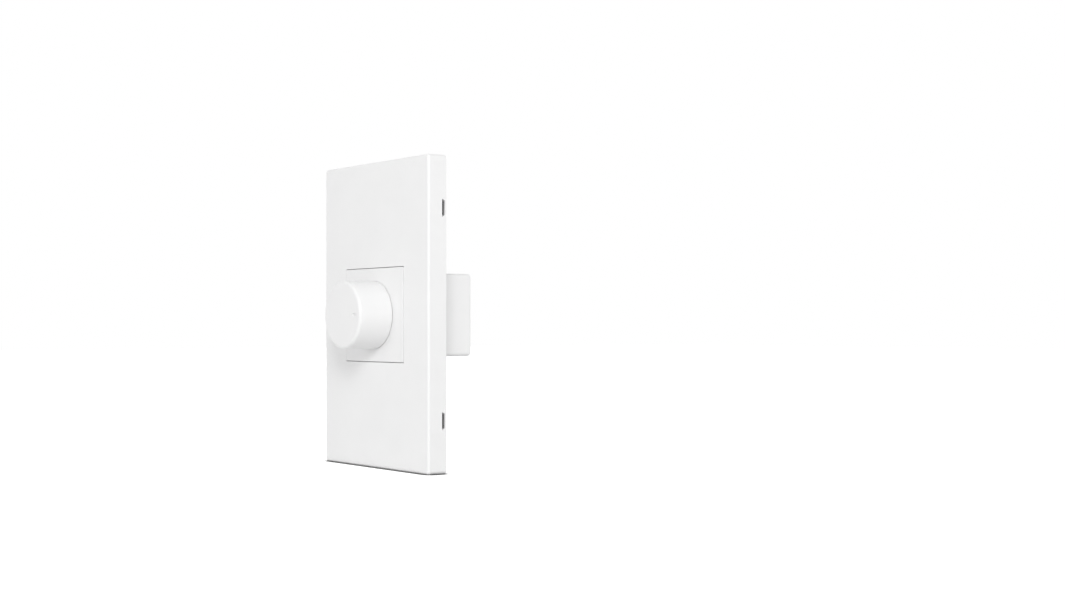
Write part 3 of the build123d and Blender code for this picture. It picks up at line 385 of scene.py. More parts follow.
    @staticmethod
    def wire(name: str, route: Sequence[Point], radius: float, fineness: int = 4) -> Shape:
        """Draws a route, gives it a round section and closes its ends.

        Args:
            name: The name of the piece.
            route: The wire's middle line.
            radius: The radius of the wire.
            fineness: How round its section is.

        Returns:
            The wire.
        """
        Bench.draw(name, route, False)
        Bench.close()
        bpy.ops.object.convert(target="CURVE")
        line = bpy.context.view_layer.objects.active
        line.data.bevel_depth = radius * MM
        line.data.bevel_resolution = fineness
        line.data.use_fill_caps = True
        bpy.ops.object.convert(target="MESH")
        piece = bpy.context.view_layer.objects.active
        piece.name = piece.data.name = name
        bpy.ops.object.mode_set(mode="EDIT")
        bpy.ops.mesh.select_all(action="SELECT")
        bpy.ops.mesh.remove_doubles(threshold=Bench.WELD)
        bpy.ops.mesh.normals_make_consistent(inside=False)
        Bench.close()
        return piece

    @staticmethod
    def swing(piece: Shape, degrees: float, centre: Point, along: Along = Along.Y) -> Shape:
        """Turns a piece about an axis through a point: about Y it goes from +X towards +Z.

        Args:
            piece: The piece.
            degrees: How far it turns.
            centre: The point.
            along: The axis.

        Returns:
            The piece.
        """
        sign = -1 if along is Along.Y else 1
        to = Matrix.Translation(Vector(centre) * MM)
        turn = Matrix.Rotation(sign * math.radians(degrees), 4, along.name)
        piece.data.transform(to @ turn @ to.inverted())
        return piece

    @staticmethod
    def repeat(piece: Shape, moves: Iterable[Matrix]) -> Shape:
        """Repeats a piece, each copy with its own mesh, and joins the copies into it.

        Args:
            piece: The piece, which stays in its place.
            moves: How each further copy is moved from it.

        Returns:
            The piece with its copies.
        """
        twins = []
        for move in moves:
            twin = piece.copy()
            twin.data = piece.data.copy()
            twin.data.transform(move)
            bpy.context.scene.collection.objects.link(twin)
            twins.append(twin)
        return Bench.unite(piece, twins)

    @staticmethod
    def copies(piece: Shape, shifts: Iterable[Point]) -> Shape:
        """Repeats a piece at each of the shifts from it."""
        return Bench.repeat(piece, [Matrix.Translation(Vector(shift) * MM) for shift in shifts])

    @staticmethod
    def turn_copies(piece: Shape, count: int) -> Shape:
        """Repeats a piece round the Y axis until there are count of them."""
        turns = [2 * math.pi * i / count for i in range(1, count)]
        return Bench.repeat(piece, [Matrix.Rotation(turn, 4, "Y") for turn in turns])

    @staticmethod
    def unite(piece: Shape, others: Iterable[Shape]) -> Shape:
        """Puts other pieces' meshes into a piece without cutting them.

        Args:
            piece: The piece.
            others: The other pieces.

        Returns:
            The piece.
        """
        Bench.activate(piece)
        others = list(others)
        for other in others:
            other.select_set(True)
        if others:
            bpy.ops.object.join()
        return piece

    @staticmethod
    def pick(piece: Shape, parts: str, test: Test) -> None:
        """Opens a piece for editing and selects its faces, edges or corners by their place and direction.

        Args:
            piece: The piece.
            parts: "faces", "edges" or "verts".
            test: Takes the middle in millimetres and the direction, which is a face's or corner's normal or
                an edge's line, and says whether it is selected.
        """
        Bench.activate(piece)
        bpy.ops.object.mode_set(mode="EDIT")
        bpy.ops.mesh.select_mode(type={"faces": "FACE", "edges": "EDGE", "verts": "VERT"}[parts])
        bpy.ops.mesh.select_all(action="DESELECT")
        mesh = bmesh.from_edit_mesh(piece.data)
        for element in getattr(mesh, parts):
            if parts == "faces":
                middle, direction = element.calc_center_median(), element.normal
            elif parts == "edges":
                a, b = (v.co for v in element.verts)
                middle, direction = (a + b) / 2, (b - a).normalized()
            else:
                middle, direction = element.co, element.normal
            if test(middle / MM, direction):
                element.select_set(True)
        mesh.select_flush_mode()
        bmesh.update_edit_mesh(piece.data)

    @staticmethod
    def close() -> None:
        """Ends editing."""
        bpy.ops.object.mode_set(mode="OBJECT")

    @staticmethod
    def extrude(shift: Point) -> None:
        """Extrudes what is selected by a shift."""
        bpy.ops.mesh.extrude_region_move(TRANSFORM_OT_translate={"value": Vector(shift) * MM})

    @staticmethod
    def round_edges(piece: Shape, radius: float, steps: int, test: Test) -> None:
        """Rounds the edges that a test picks.

        Args:
            piece: The piece.
            radius: The radius of the rounding.
            steps: How many faces stand for the rounding.
            test: Takes an edge's middle in millimetres and its direction.
        """
        Bench.pick(piece, "edges", test)
        bpy.ops.mesh.bevel(offset=radius * MM, segments=steps, affect="EDGES", clamp_overlap=True)
        Bench.close()

    @staticmethod
    def push(piece: Shape, shift: Point, test: Test) -> None:
        """Moves the corners that a test picks.

        Args:
            piece: The piece.
            shift: How far they move.
            test: Takes a corner's place in millimetres and its normal.
        """
        Bench.pick(piece, "verts", test)
        bpy.ops.transform.translate(value=Vector(shift) * MM)
        Bench.close()

    @staticmethod
    def combine(piece: Shape, cut: Cut, *tools: Shape) -> Shape:
        """Joins tools to a piece or cuts it with them, and removes the tools. An empty result is tried again.

        Args:
            piece: The piece.
            cut: What the tools do.
            *tools: The tool solids.

        Returns:
            The piece.
        """
        Bench.activate(piece)
        for tool in tools:
            before = piece.data.copy()
            for _ in range(Bench.TRIES):
                step = piece.modifiers.new("shape", "BOOLEAN")
                step.operation = cut.value
                step.solver = "EXACT"
                step.object = tool
                bpy.ops.object.modifier_apply(modifier=step.name)
                if piece.data.polygons:
                    break
                empty, piece.data = piece.data, before.copy()
                bpy.data.meshes.remove(empty)
                piece.data.name = piece.name
            bpy.data.meshes.remove(before)
            bpy.data.objects.remove(tool, do_unlink=True)
        return piece

    @staticmethod
    def soften(piece: Shape, width: float, above: float = 35.0) -> None:
        """Breaks every sharp edge by a fine rounding and shades the piece smoothly over it.

        Args:
            piece: The piece.
            width: The width of the rounding.
            above: The least angle in degrees that counts as sharp.
        """
        if width:
            Bench.pick(piece, "faces", picks())
            bpy.ops.mesh.dissolve_limited(angle_limit=math.radians(FLAT_ANGLE))
            Bench.close()
            step = piece.modifiers.new("fine_edges", "BEVEL")
            step.width = width * MM
            step.segments = 2
            step.limit_method = "ANGLE"
            step.angle_limit = math.radians(above)
            step.use_clamp_overlap = True
            Bench.activate(piece)
            bpy.ops.object.modifier_apply(modifier=step.name)
        Bench.activate(piece)
        bpy.ops.object.shade_smooth_by_angle(angle=math.radians(SMOOTH_ANGLE))
        step = piece.modifiers.new("even_shading", "WEIGHTED_NORMAL")
        step.mode = "FACE_AREA"
        step.weight = 100
        step.keep_sharp = True
        bpy.ops.object.modifier_apply(modifier=step.name)


@dataclass(frozen=True)
class Finish:
    """A surface with a fine grain, a slow change of tone and a roughness that isn't quite even.

    Attributes:
        name: The name of its material.
        colour: Its colour, as linear red, green and blue.
        roughness: How dull it is.
        metallic: 1 for a bare metal.
        tone: By what share the colour changes from place to place.
        tone_size: The size in millimetres of those changes.
        grain: The size in millimetres of the fine relief.
        relief: The depth in millimetres of the fine relief.
        stretch: How the grain is drawn out along X, Y and Z.
        coat: The weight of a clear coat.
        uneven: By what share the roughness changes from place to place.
    """

    name: str
    colour: Colour
    roughness: float
    metallic: float = 0.0
    tone: float = 0.03
    tone_size: float = 12.0
    grain: float = 0.12
    relief: float = 0.002
    stretch: Point = (1.0, 1.0, 1.0)
    coat: float = 0.0
    uneven: float = 0.12

    def material(self) -> bpy.types.Material:
        """Makes the material once and returns it each time."""
        made = bpy.data.materials.get(self.name)
        if made is None:
            made = bpy.data.materials.new(self.name)
            made.use_nodes = True
            self.paint(Graph(made))
        return made

    def paint(self, graph: "Graph") -> None:
        """Wires the tone, the roughness and the grain to the shader.

        Args:
            graph: The material's node graph.
        """
        place = graph.place(self.stretch)
        slow = graph.noise(place, self.tone_size, 3)
        fine = graph.noise(place, self.grain, 2)
        graph.fill(
            graph.shader,
            Metallic=self.metallic,
            Coat_Weight=self.coat,
            Base_Color=graph.ramp(slow, self.shade(1 - self.tone), self.shade(1 + self.tone)),
            Roughness=graph.span(fine, *(self.roughness * (1 + sign * self.uneven) for sign in SIDES)),
            Normal=graph.bump(fine, self.relief),
        )

    def shade(self, factor: float) -> Colour:
        """The colour, darker or lighter by a factor."""
        return tuple(min(1.0, c * factor) for c in self.colour)


@dataclass(frozen=True)
class Patch:
    """A painted place: all that lies in a box, given by its middle and its reach in millimetres."""

    middle: Point
    reach: Point
    colour: Colour


@dataclass(frozen=True)
class Painted(Finish):
    """A finish with painted patches.

    Attributes:
        patches: The painted places.
    """

    patches: tuple[Patch, ...] = ()

    def paint(self, graph: "Graph") -> None:
        """Paints the patches over the plain finish.

        Args:
            graph: The material's node graph.
        """
        super().paint(graph)
        base = graph.shader.inputs["Base Color"]
        colour = base.links[0].from_socket
        for patch in self.patches:
            colour = graph.patch(colour, patch)
        graph.feed(base, colour)


class Graph:
    """The node graph of a new material or world."""

    def __init__(self, owner: bpy.types.Material | bpy.types.World) -> None:
        """Switches the owner's nodes on and takes over its graph."""
        owner.use_nodes = True
        self.tree = owner.node_tree
        self.shader = self.tree.nodes.get("Principled BSDF")

    def feed(self, target: Socket, value: object) -> None:
        """Joins an input to another node's output or sets it.

        Args:
            target: The input.
            value: The output's socket, or a plain value.
        """
        if isinstance(value, Socket):
            self.tree.links.new(value, target)
        else:
            target.default_value = value

    def fill(self, node: bpy.types.Node, **inputs: object) -> bpy.types.Node:
        """Feeds a node's inputs.

        Args:
            node: The node.
            **inputs: What each input gets, under its name with underscores for its spaces.

        Returns:
            The node.
        """
        for name, value in inputs.items():
            self.feed(node.inputs[name.replace("_", " ")], value)
        return node

    def add(self, kind: str, **inputs: object) -> bpy.types.Node:
        """Adds a node of a kind, such as ShaderNodeBump, and feeds its inputs."""
        return self.fill(self.tree.nodes.new(kind), **inputs)

    def work(self, operation: str, *values: object) -> Socket:
        """Adds a calculation.

        Args:
            operation: What is done, such as MULTIPLY.
            *values: Its inputs.

        Returns:
            The socket of the result.
        """
        node = self.add("ShaderNodeMath")
        node.operation = operation
        for target, value in zip(node.inputs, values):
            self.feed(target, value)
        return node.outputs[0]

    def rays(self, *kinds: str) -> Socket:
        """Tells rays of some kinds, such as Camera, from the others by a socket that is 1 for them."""
        path = self.add("ShaderNodeLightPath")
        found = 0.0
        for kind in kinds:
            found = self.work("MAXIMUM", found, path.outputs[f"Is {kind} Ray"])
        return found

    def place(self, stretch: Point = (1.0, 1.0, 1.0)) -> Socket:
        """The place on the piece. A stretch under 1 draws a pattern out along its axis."""
        place = self.add("ShaderNodeTexCoord").outputs["Object"]
        return self.add("ShaderNodeMapping", Vector=place, Scale=stretch).outputs["Vector"]

    def noise(self, place: Socket, size: float, detail: float) -> Socket:
        """A cloudy value from 0 to 1, with patches of a size in millimetres and some finer layers."""
        scale = 1 / (size * MM)
        return self.add("ShaderNodeTexNoise", Vector=place, Scale=scale, Detail=detail).outputs["Fac"]

    def ramp(self, value: Socket, low: Colour, high: Colour) -> Socket:
        """Turns a cloudy value into a colour between two.

        Args:
            value: The socket of the value.
            low: The colour at its low end.
            high: The colour at its high end.

        Returns:
            The socket of the colour.
        """
        node = self.add("ShaderNodeValToRGB", Fac=value)
        first, last = node.color_ramp.elements
        first.position, last.position = CLOUD
        first.color, last.color = (*low, 1), (*high, 1)
        return node.outputs["Color"]

    def span(self, value: Socket, low: float, high: float, reach: Pair = CLOUD) -> Socket:
        """Spreads a value between two limits.

        Args:
            value: The socket of the value.
            low: The result at its start.
            high: The result at its end.
            reach: Where the value starts and ends.

        Returns:
            The socket of the result.
        """
        limits = {"From_Min": reach[0], "From_Max": reach[1], "To_Min": low, "To_Max": high}
        return self.add("ShaderNodeMapRange", Value=value, **limits).outputs["Result"]

    def patch(self, under: Socket, patch: Patch) -> Socket:
        """Paints a patch over a colour.

        Args:
            under: The socket of the colour below.
            patch: The patch.

        Returns:
            The socket of the colour with the patch.
        """
        place = self.add("ShaderNodeSeparateXYZ", Vector=self.place())
        inside = 1.0
        for axis, middle, reach in zip("XYZ", patch.middle, patch.reach):
            near = self.work("COMPARE", place.outputs[axis], middle * MM, reach * MM)
            inside = self.work("MULTIPLY", inside, near)
        mix = self.add("ShaderNodeMix")
        mix.data_type = "RGBA"
        for index, value in ((0, inside), (6, under), (7, (*patch.colour, 1))):
            self.feed(mix.inputs[index], value)
        return mix.outputs[2]

    def bump(self, height: Socket, depth: float) -> Socket:
        """The relief of a pattern whose ends are a depth in millimetres apart."""
        return self.add("ShaderNodeBump", Height=height, Strength=1.0, Distance=depth * MM).outputs["Normal"]


class Finishes:
    """The finishes of the dimmer's pieces."""

    PLATE = Finish("satin_white_plate", (0.88,) * 3, 0.42, tone=0.008)
    # Painted shade: the floor of the sunk pointer mark is coloured darker to stand in for the shade in the
    # groove.
    POINTER_PAINTED_SHADE = Patch((9.3, -22.95, 0), (1.6, 0.2, 0.7), (0.83,) * 3)
    KNOB = Painted("satin_white_knob", (0.875,) * 3, 0.38, tone=0.006, patches=(POINTER_PAINTED_SHADE,))
    # Painted shade: the fascia's white is set a little darker than the plate's same plastic, toning it down
    # where the lamps light it strongly.
    FASCIA_PAINTED_SHADE = Finish("satin_white_fascia", (0.87,) * 3, 0.40, tone=0.006)
    # Painted light: the housing's white is set lighter than the plate's same plastic, making up for the light
    # that the plate keeps from the module's sides.
    HOUSING_PAINTED_LIGHT = Finish("satin_white_housing", (0.95,) * 3, 0.46, tone=0.01)
    FRAME = Finish("black_nylon", (0.022, 0.022, 0.024), 0.5, tone=0.12, grain=0.25, relief=0.012)
    ACETAL = Finish("natural_acetal", (0.72, 0.7, 0.62), 0.35, tone=0.02)
    PHENOLIC = Finish("dark_phenolic", (0.045, 0.03, 0.022), 0.38, tone=0.15, grain=0.3, relief=0.006)
    ZINC = Finish("zinc_plate", (0.62, 0.62, 0.6), 0.3, 1.0, tone=0.06, grain=0.2, relief=0.002, tone_size=4)
    NICKEL = Finish("nickel_plate", (0.72, 0.68, 0.6), 0.24, 1.0, tone=0.04, grain=0.15, stretch=(1, 6, 1))
    BRASS = Finish("rolled_brass", (0.72, 0.5, 0.2), 0.28, 1.0, tone=0.06, grain=0.2, stretch=(1, 1, 0.15))
    BRONZE = Finish("spring_bronze", (0.68, 0.42, 0.2), 0.26, 1.0, tone=0.06, grain=0.15, stretch=(0.2, 1, 1))
    TIN = Finish("tinned_copper", (0.66, 0.65, 0.62), 0.33, 1.0, tone=0.05, grain=0.2)
    LAMINATE = Finish(
        "phenolic_paper_board", (0.36, 0.22, 0.075), 0.5, tone=0.14, tone_size=3, grain=0.35, relief=0.004
    )
    TRACK = Finish("printed_track_board", (0.12, 0.07, 0.035), 0.42, tone=0.16, tone_size=2, grain=0.2)
    EPOXY = Finish("black_epoxy", (0.016, 0.016, 0.017), 0.52, tone=0.12, grain=0.18, relief=0.008)
    ALUMINIUM = Finish(
        "mill_aluminium", (0.7, 0.71, 0.72), 0.34, 1.0, tone=0.05, grain=0.25, stretch=(1, 1, 0.08)
    )
    FERRITE = Finish("painted_iron_core", (0.55, 0.45, 0.05), 0.36, tone=0.08, tone_size=3, coat=0.3)
    ENAMEL = Finish("enamelled_copper", (0.46, 0.13, 0.035), 0.22, 0.9, tone=0.08, tone_size=2, coat=0.6)
    FILM_BOX = Finish("moulded_film_box", (0.5, 0.34, 0.04), 0.34, tone=0.06, tone_size=5, coat=0.15)
    CARBON = Finish("carbon_film", (0.02, 0.02, 0.021), 0.38, tone=0.15, tone_size=1.5, grain=0.1)
    RINGS = tuple(
        Patch((0, 0, middle), (100, 100, 0.275), colour)
        for middle, colour in (
            (-2.45, (0.1, 0.035, 0.012)),
            (-1.15, (0.012, 0.012, 0.012)),
            (-0.1, (0.62, 0.16, 0.01)),
            (2.45, (0.55, 0.38, 0.1)),
        )
    )
    RESISTOR = Painted(
        "coated_resistor", (0.45, 0.29, 0.13), 0.34, tone=0.06, tone_size=2, coat=0.2, patches=RINGS
    )
    DIODE = Finish("painted_glass_diode", (0.03, 0.08, 0.32), 0.18, tone=0.08, tone_size=1.5, coat=0.6)


@dataclass
class Piece:
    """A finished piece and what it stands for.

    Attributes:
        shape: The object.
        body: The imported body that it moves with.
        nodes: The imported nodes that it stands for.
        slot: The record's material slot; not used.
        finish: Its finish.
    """

    shape: Shape
    body: str
    nodes: Sequence[str]
    slot: str
    finish: Finish

    def install(self, edge: float | None = None, above: float = 35.0) -> None:
        """Softens and dresses the piece and hangs it on its body.

        Args:
            edge: The width of its fine edges, 0 for none, or None where it has been softened before.
            above: The least angle in degrees that counts as an edge.
        """
        if edge is not None:
            Bench.soften(self.shape, edge, above)
        self.shape.data.materials.clear()
        self.shape.data.materials.append(self.finish.material())
        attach(self.shape, self.body)
        for name in self.nodes:
            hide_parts(name)
            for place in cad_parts[name].material_slots:
                place.material = self.finish.material()
        faces = len(self.shape.data.polygons)
        stands = ", ".join(self.nodes)
        LOG.info("%s: %d faces, rides on %s, stands for %s", self.shape.name, faces, self.body, stands)


@dataclass
class Knob:
    """The push-on knob: a tapered drum with a rounded face edge, a ribbed hub and a sunk pointer mark."""

    base: float = 8.65
    face: float = 23.25
    base_radius: float = 13.3
    face_radius: float = 13.15
    edge_radius: float = 1.2
    wall: float = 1.6
    face_wall: float = 1.8
    hub_base: float = 12.0
    hub_radius: float = 5.2
    bore_radius: float = 3.03
    bore_end: float = 21.45
    flat: float = 2.3
    ribs: int = 6
    rib_width: float = 1.0
    rib_base: float = 14.0
    rib_sinks: Pair = (0.5, 0.2)
    pointer_reach: float = 9.3
    pointer_length: float = 2.9
    pointer_width: float = 1.1
    pointer_depth: float = 0.35
    sides: int = 160
    fine_edge: float = 0.12

    def shell(self) -> Shape:
        """Shapes the drum, its face edge and its hollow with the hub.

        Returns:
            The shell.
        """
        long = self.face - self.base
        shell = Bench.drum("knob_cap", self.base_radius, (0, -self.face, 0), long, sides=self.sides)
        Bench.pick(shell, "faces", picks(Along.Y, max_y=-self.face))
        share = self.face_radius / self.base_radius
        bpy.ops.transform.resize(value=(share, 1, share))
        Bench.close()
        Bench.round_edges(shell, self.edge_radius, 10, picks(max_y=-self.face))
        Bench.pick(shell, "faces", picks(Along.Y, min_y=-self.base))
        inside = self.face - self.face_wall - self.base
        bpy.ops.mesh.inset(thickness=(self.base_radius - self.face_radius + self.wall) * MM)
        Bench.extrude((0, -inside, 0))
        bpy.ops.mesh.inset(thickness=(self.face_radius - self.wall - self.hub_radius) * MM)
        rise = self.face - self.face_wall - self.hub_base
        Bench.extrude((0, rise, 0))
        Bench.close()
        return shell

    def rib(self, turn: float) -> Shape:
        """Makes one rib between the hub and the wall.

        Args:
            turn: Its direction in degrees from +X.

        Returns:
            The rib.
        """
        across, deep = self.rib_sinks
        low = (self.hub_radius - across, -(self.face - self.face_wall) - deep, -self.rib_width / 2)
        high = (self.face_radius - self.wall + across, -self.rib_base, self.rib_width / 2)
        return Bench.swing(Bench.block("knob_rib", low, high), turn, (0, 0, 0))

    def bore(self) -> Shape:
        """Makes the D-shaped tool that cuts the hub's bore."""
        end, base = self.bore_end, self.hub_base
        tool = Bench.drum("knob_bore", self.bore_radius, (0, -end, 0), end - base + 1)
        beside = Bench.block("knob_flat", (self.flat, -end - 1, -5), (self.flat + 5, -base + 2, 5))
        return Bench.combine(tool, Cut.REMOVE, beside)

    def pointer(self) -> Shape:
        """Makes the round-ended tool that sinks the pointer mark."""
        size = (self.pointer_length, self.pointer_width)
        ys = (-self.face - 1, -self.face + self.pointer_depth)
        return Bench.pill("knob_pointer", size, ys, (self.pointer_reach, 0), 10)

    def build(self) -> None:
        """Models the knob and hangs it on the turning body."""
        shell = self.shell()
        turns = [360 * (i + 0.5) / self.ribs for i in range(self.ribs)]
        Bench.combine(shell, Cut.JOIN, *(self.rib(turn) for turn in turns))
        Bench.combine(shell, Cut.REMOVE, self.bore(), self.pointer())
        Piece(shell, "rotor", ["knob"], "knob_plastic", Finishes.KNOB).install(self.fine_edge)


@dataclass
class CoverPlate:
    """The tall outer plate: a shallow shell with the module window, four latch slots, ribs and hooks."""

    width: float = 74.0
    height: float = 120.0
    depth: float = 8.2
    front_wall: float = 2.0
    side_wall: float = 1.9
    corner: float = 1.3
    edge: float = 0.9
    window: Pair = (41.4, 37.1)
    slot_spacing: float = 80.0
    slot_lengths: Pair = (6.8, 5.4)
    slot_width: float = 1.3
    slot_setback: float = 0.6
    hook_x: float = 30.6
    hook_z: float = 27.0
    hook_length: float = 7.2
    hook_arm: float = 1.4
    hook_back: float = 1.8
    barb: float = 0.8
    barb_depth: float = 1.5
    barb_taper: float = 0.98
    rib_width: float = 1.2
    rib_depth: float = 0.3
    rib_setback: float = 0.6
    rib_spacing: Pair = (40.0, 100.0)
    pin_mark_radius: float = 2.0
    pin_mark_depth: float = 0.12
    pin_mark_xs: Sequence[float] = (-26.0, 0.0, 26.0)
    pin_mark_zs: Sequence[float] = (-50.0, -26.0, 26.0, 50.0)
    sink: float = 0.2
    side_sink: float = 0.3
    fine_edge: float = 0.14

    @property
    def ceiling(self) -> float:
        """How deep the hollow is."""
        return self.depth - self.front_wall

    def shell(self) -> Shape:
        """Shapes the outside and cuts the hollow and the window."""
        shell = Bench.slab("cover_plate_shell", (self.width, self.height), (-self.depth, 0))
        Bench.round_edges(shell, self.corner, 10, picks(Along.Y))
        Bench.round_edges(shell, self.edge, 8, picks(max_y=-self.depth))
        inside = (self.width - 2 * self.side_wall, self.height - 2 * self.side_wall)
        hollow = Bench.slab("plate_hollow", inside, (-self.ceiling, 1))
        window = Bench.slab("plate_window", self.window, (-self.depth - 1, 0))
        return Bench.combine(shell, Cut.REMOVE, hollow, window)

    def slots(self) -> Shape:
        """Makes the tool that cuts the latch slots, which are longer at the front."""
        front, back = self.slot_lengths
        ys = (-self.slot_setback - self.slot_width, -self.slot_setback)
        middle, spread = self.slot_spacing / 2, (front - back) / 2
        tool = Bench.slab("plate_slots", (2 * self.width, back), ys, (0, middle))
        Bench.push(tool, (0, 0, spread), picks(max_y=ys[0], min_z=middle))
        Bench.push(tool, (0, 0, -spread), picks(max_y=ys[0], max_z=middle))
        return Bench.copies(tool, [(0, 0, -self.slot_spacing)])

    def hooks(self) -> list[Shape]:
        """Makes the four hooks, each an arm with a barb at its end."""
        made = []
        for side, place in product(SIDES, (-self.hook_z, self.hook_z)):
            outer, tip = side * self.hook_x, side * (self.hook_x + self.barb)
            low, high = place - self.hook_length / 2, place + self.hook_length / 2
            start = (side * (self.hook_x - self.hook_arm), -self.ceiling - self.sink, low)
            hook = Bench.block("plate_hook", start, (outer, -self.hook_back, high))
            start = (outer, -self.hook_back - self.barb_depth, low)
            barb = Bench.block("plate_barb", start, (tip, -self.hook_back, high))
            at_tip = picks(min_y=-self.hook_back, **{"min_x" if side > 0 else "max_x": tip})
            Bench.push(barb, (-side * self.barb * self.barb_taper, 0, 0), at_tip)
            made.append(Bench.combine(hook, Cut.JOIN, barb))
        return made

    def ribs(self) -> list[Shape]:
        """Makes the eight ribs that centre the plate on the frame."""
        inner_x, inner_z = self.width / 2 - self.side_wall, self.height / 2 - self.side_wall
        half, start, end = self.rib_width / 2, -self.ceiling - self.sink, -self.rib_setback
        made = []
        for side in SIDES:
            near, far = side * (inner_x - self.rib_depth), side * (inner_x + self.side_sink)
            for place in (-self.rib_spacing[1] / 2, self.rib_spacing[1] / 2):
                made.append(Bench.block("plate_rib", (near, start, place - half), (far, end, place + half)))
            near, far = side * (inner_z - self.rib_depth), side * (inner_z + self.side_sink)
            for place in (-self.rib_spacing[0] / 2, self.rib_spacing[0] / 2):
                made.append(Bench.block("plate_rib", (place - half, start, near), (place + half, end, far)))
        return made

    def pin_marks(self) -> Shape:
        """Makes the tool that sinks the mould's ejector marks into the plate's inside."""
        (x, z), *others = product(self.pin_mark_xs, self.pin_mark_zs)
        start = (x, -self.ceiling - self.pin_mark_depth, z)
        tool = Bench.drum("plate_pin_marks", self.pin_mark_radius, start, 1.0, sides=32)
        return Bench.copies(tool, [(there[0] - x, 0, there[1] - z) for there in others])

    def build(self) -> None:
        """Models the plate and hangs it on the fixed body."""
        shell = self.shell()
        Bench.combine(shell, Cut.JOIN, *self.hooks(), *self.ribs())
        Bench.combine(shell, Cut.REMOVE, self.slots(), self.pin_marks())
        Piece(shell, "base", ["cover_plate"], "plate_plastic", Finishes.PLATE).install(self.fine_edge)


@dataclass
class Fascia:
    """The module's front: a raised panel with a hidden lip, and a skirt with catches, windows and pillars."""

    panel: Pair = (40.9, 36.6)
    front: float = 8.4
    lip: Pair = (44.1, 38.4)
    lip_levels: Pair = (5.4, 6.0)
    skirt: Pair = (40.1, 34.4)
    skirt_wall: float = 0.9
    skirt_back: float = 0.6
    inside: float = 6.4
    corner: float = 0.25
    edge: float = 0.4
    catch_z: float = 9.0
    catch_length: float = 5.0
    catch_levels: Pair = (1.7, 3.3)
    catch_reach: float = 0.8
    window_width: float = 6.0
    window_levels: Pair = (2.3, 4.3)
    pillar_radius: float = 1.2
    pillar_place: Pair = (14.6, 11.75)
    pillar_end: float = -6.1
    hole_radius: float = 3.6
    pocket: Point = (1.2, 2.7, 1.3)
    pocket_place: float = 7.0
    sink: float = 0.3
    skirt_sink: float = 0.2
    fine_edge: float = 0.1

    def catches(self) -> list[Shape]:
        """Makes the four wedge-shaped catches on the skirt's sides."""
        back, front = self.catch_levels
        x, root = self.skirt[0] / 2, self.skirt[0] / 2 - self.sink
        corners = [(root, -front), (x + self.catch_reach, -front), (x, -back), (root, -back)]
        made = []
        for side, place in product(SIDES, (-self.catch_z, self.catch_z)):
            outline = [(side * across, y, place - self.catch_length / 2) for across, y in corners]
            made.append(Bench.prism("fascia_catch", outline, (0, 0, self.catch_length)))
        return made

    def build(self) -> None:
        """Models the fascia and hangs it on the fixed body."""
        lip_back, lip_front = self.lip_levels
        shell = Bench.slab("module_fascia_shell", self.panel, (-self.front, -lip_back))
        Bench.round_edges(shell, self.corner, 4, picks(Along.Y))
        Bench.round_edges(shell, self.edge, 6, picks(max_y=-self.front))
        lip = Bench.slab("fascia_lip", self.lip, (-lip_front, -lip_back))
        skirt = Bench.slab("fascia_skirt", self.skirt, (-lip_back - self.skirt_sink, -self.skirt_back))
        Bench.combine(shell, Cut.JOIN, lip, skirt, *self.catches())
        wall = 2 * self.skirt_wall
        hollow = Bench.slab("fascia_hollow", (self.skirt[0] - wall, self.skirt[1] - wall), (-self.inside, 1))
        back, front = self.window_levels
        window = Bench.slab("fascia_windows", (self.window_width, 2 * self.skirt[1]), (-front, -back))
        Bench.combine(shell, Cut.REMOVE, hollow, window)
        (x, z), pillars = self.pillar_place, []
        start = -self.inside - self.sink
        long = -self.pillar_end - start
        for side, end in product(SIDES, SIDES):
            foot = (side * x, start, end * z)
            pillars.append(Bench.drum("fascia_pillar", self.pillar_radius, foot, long, sides=40))
        Bench.combine(shell, Cut.JOIN, *pillars)
        hole = Bench.drum("fascia_hole", self.hole_radius, (0, -self.front - 1, 0), self.front, sides=80)
        deep, wide, far = self.pocket
        ys = (-self.inside - far, -self.inside + 1)
        pocket = Bench.slab("fascia_pocket", (deep, wide), ys, (self.pocket_place, 0))
        Bench.combine(shell, Cut.REMOVE, hole, pocket)
        Piece(shell, "base", ["module_fascia"], "fascia_plastic", Finishes.FASCIA_PAINTED_SHADE).install(self.fine_edge)


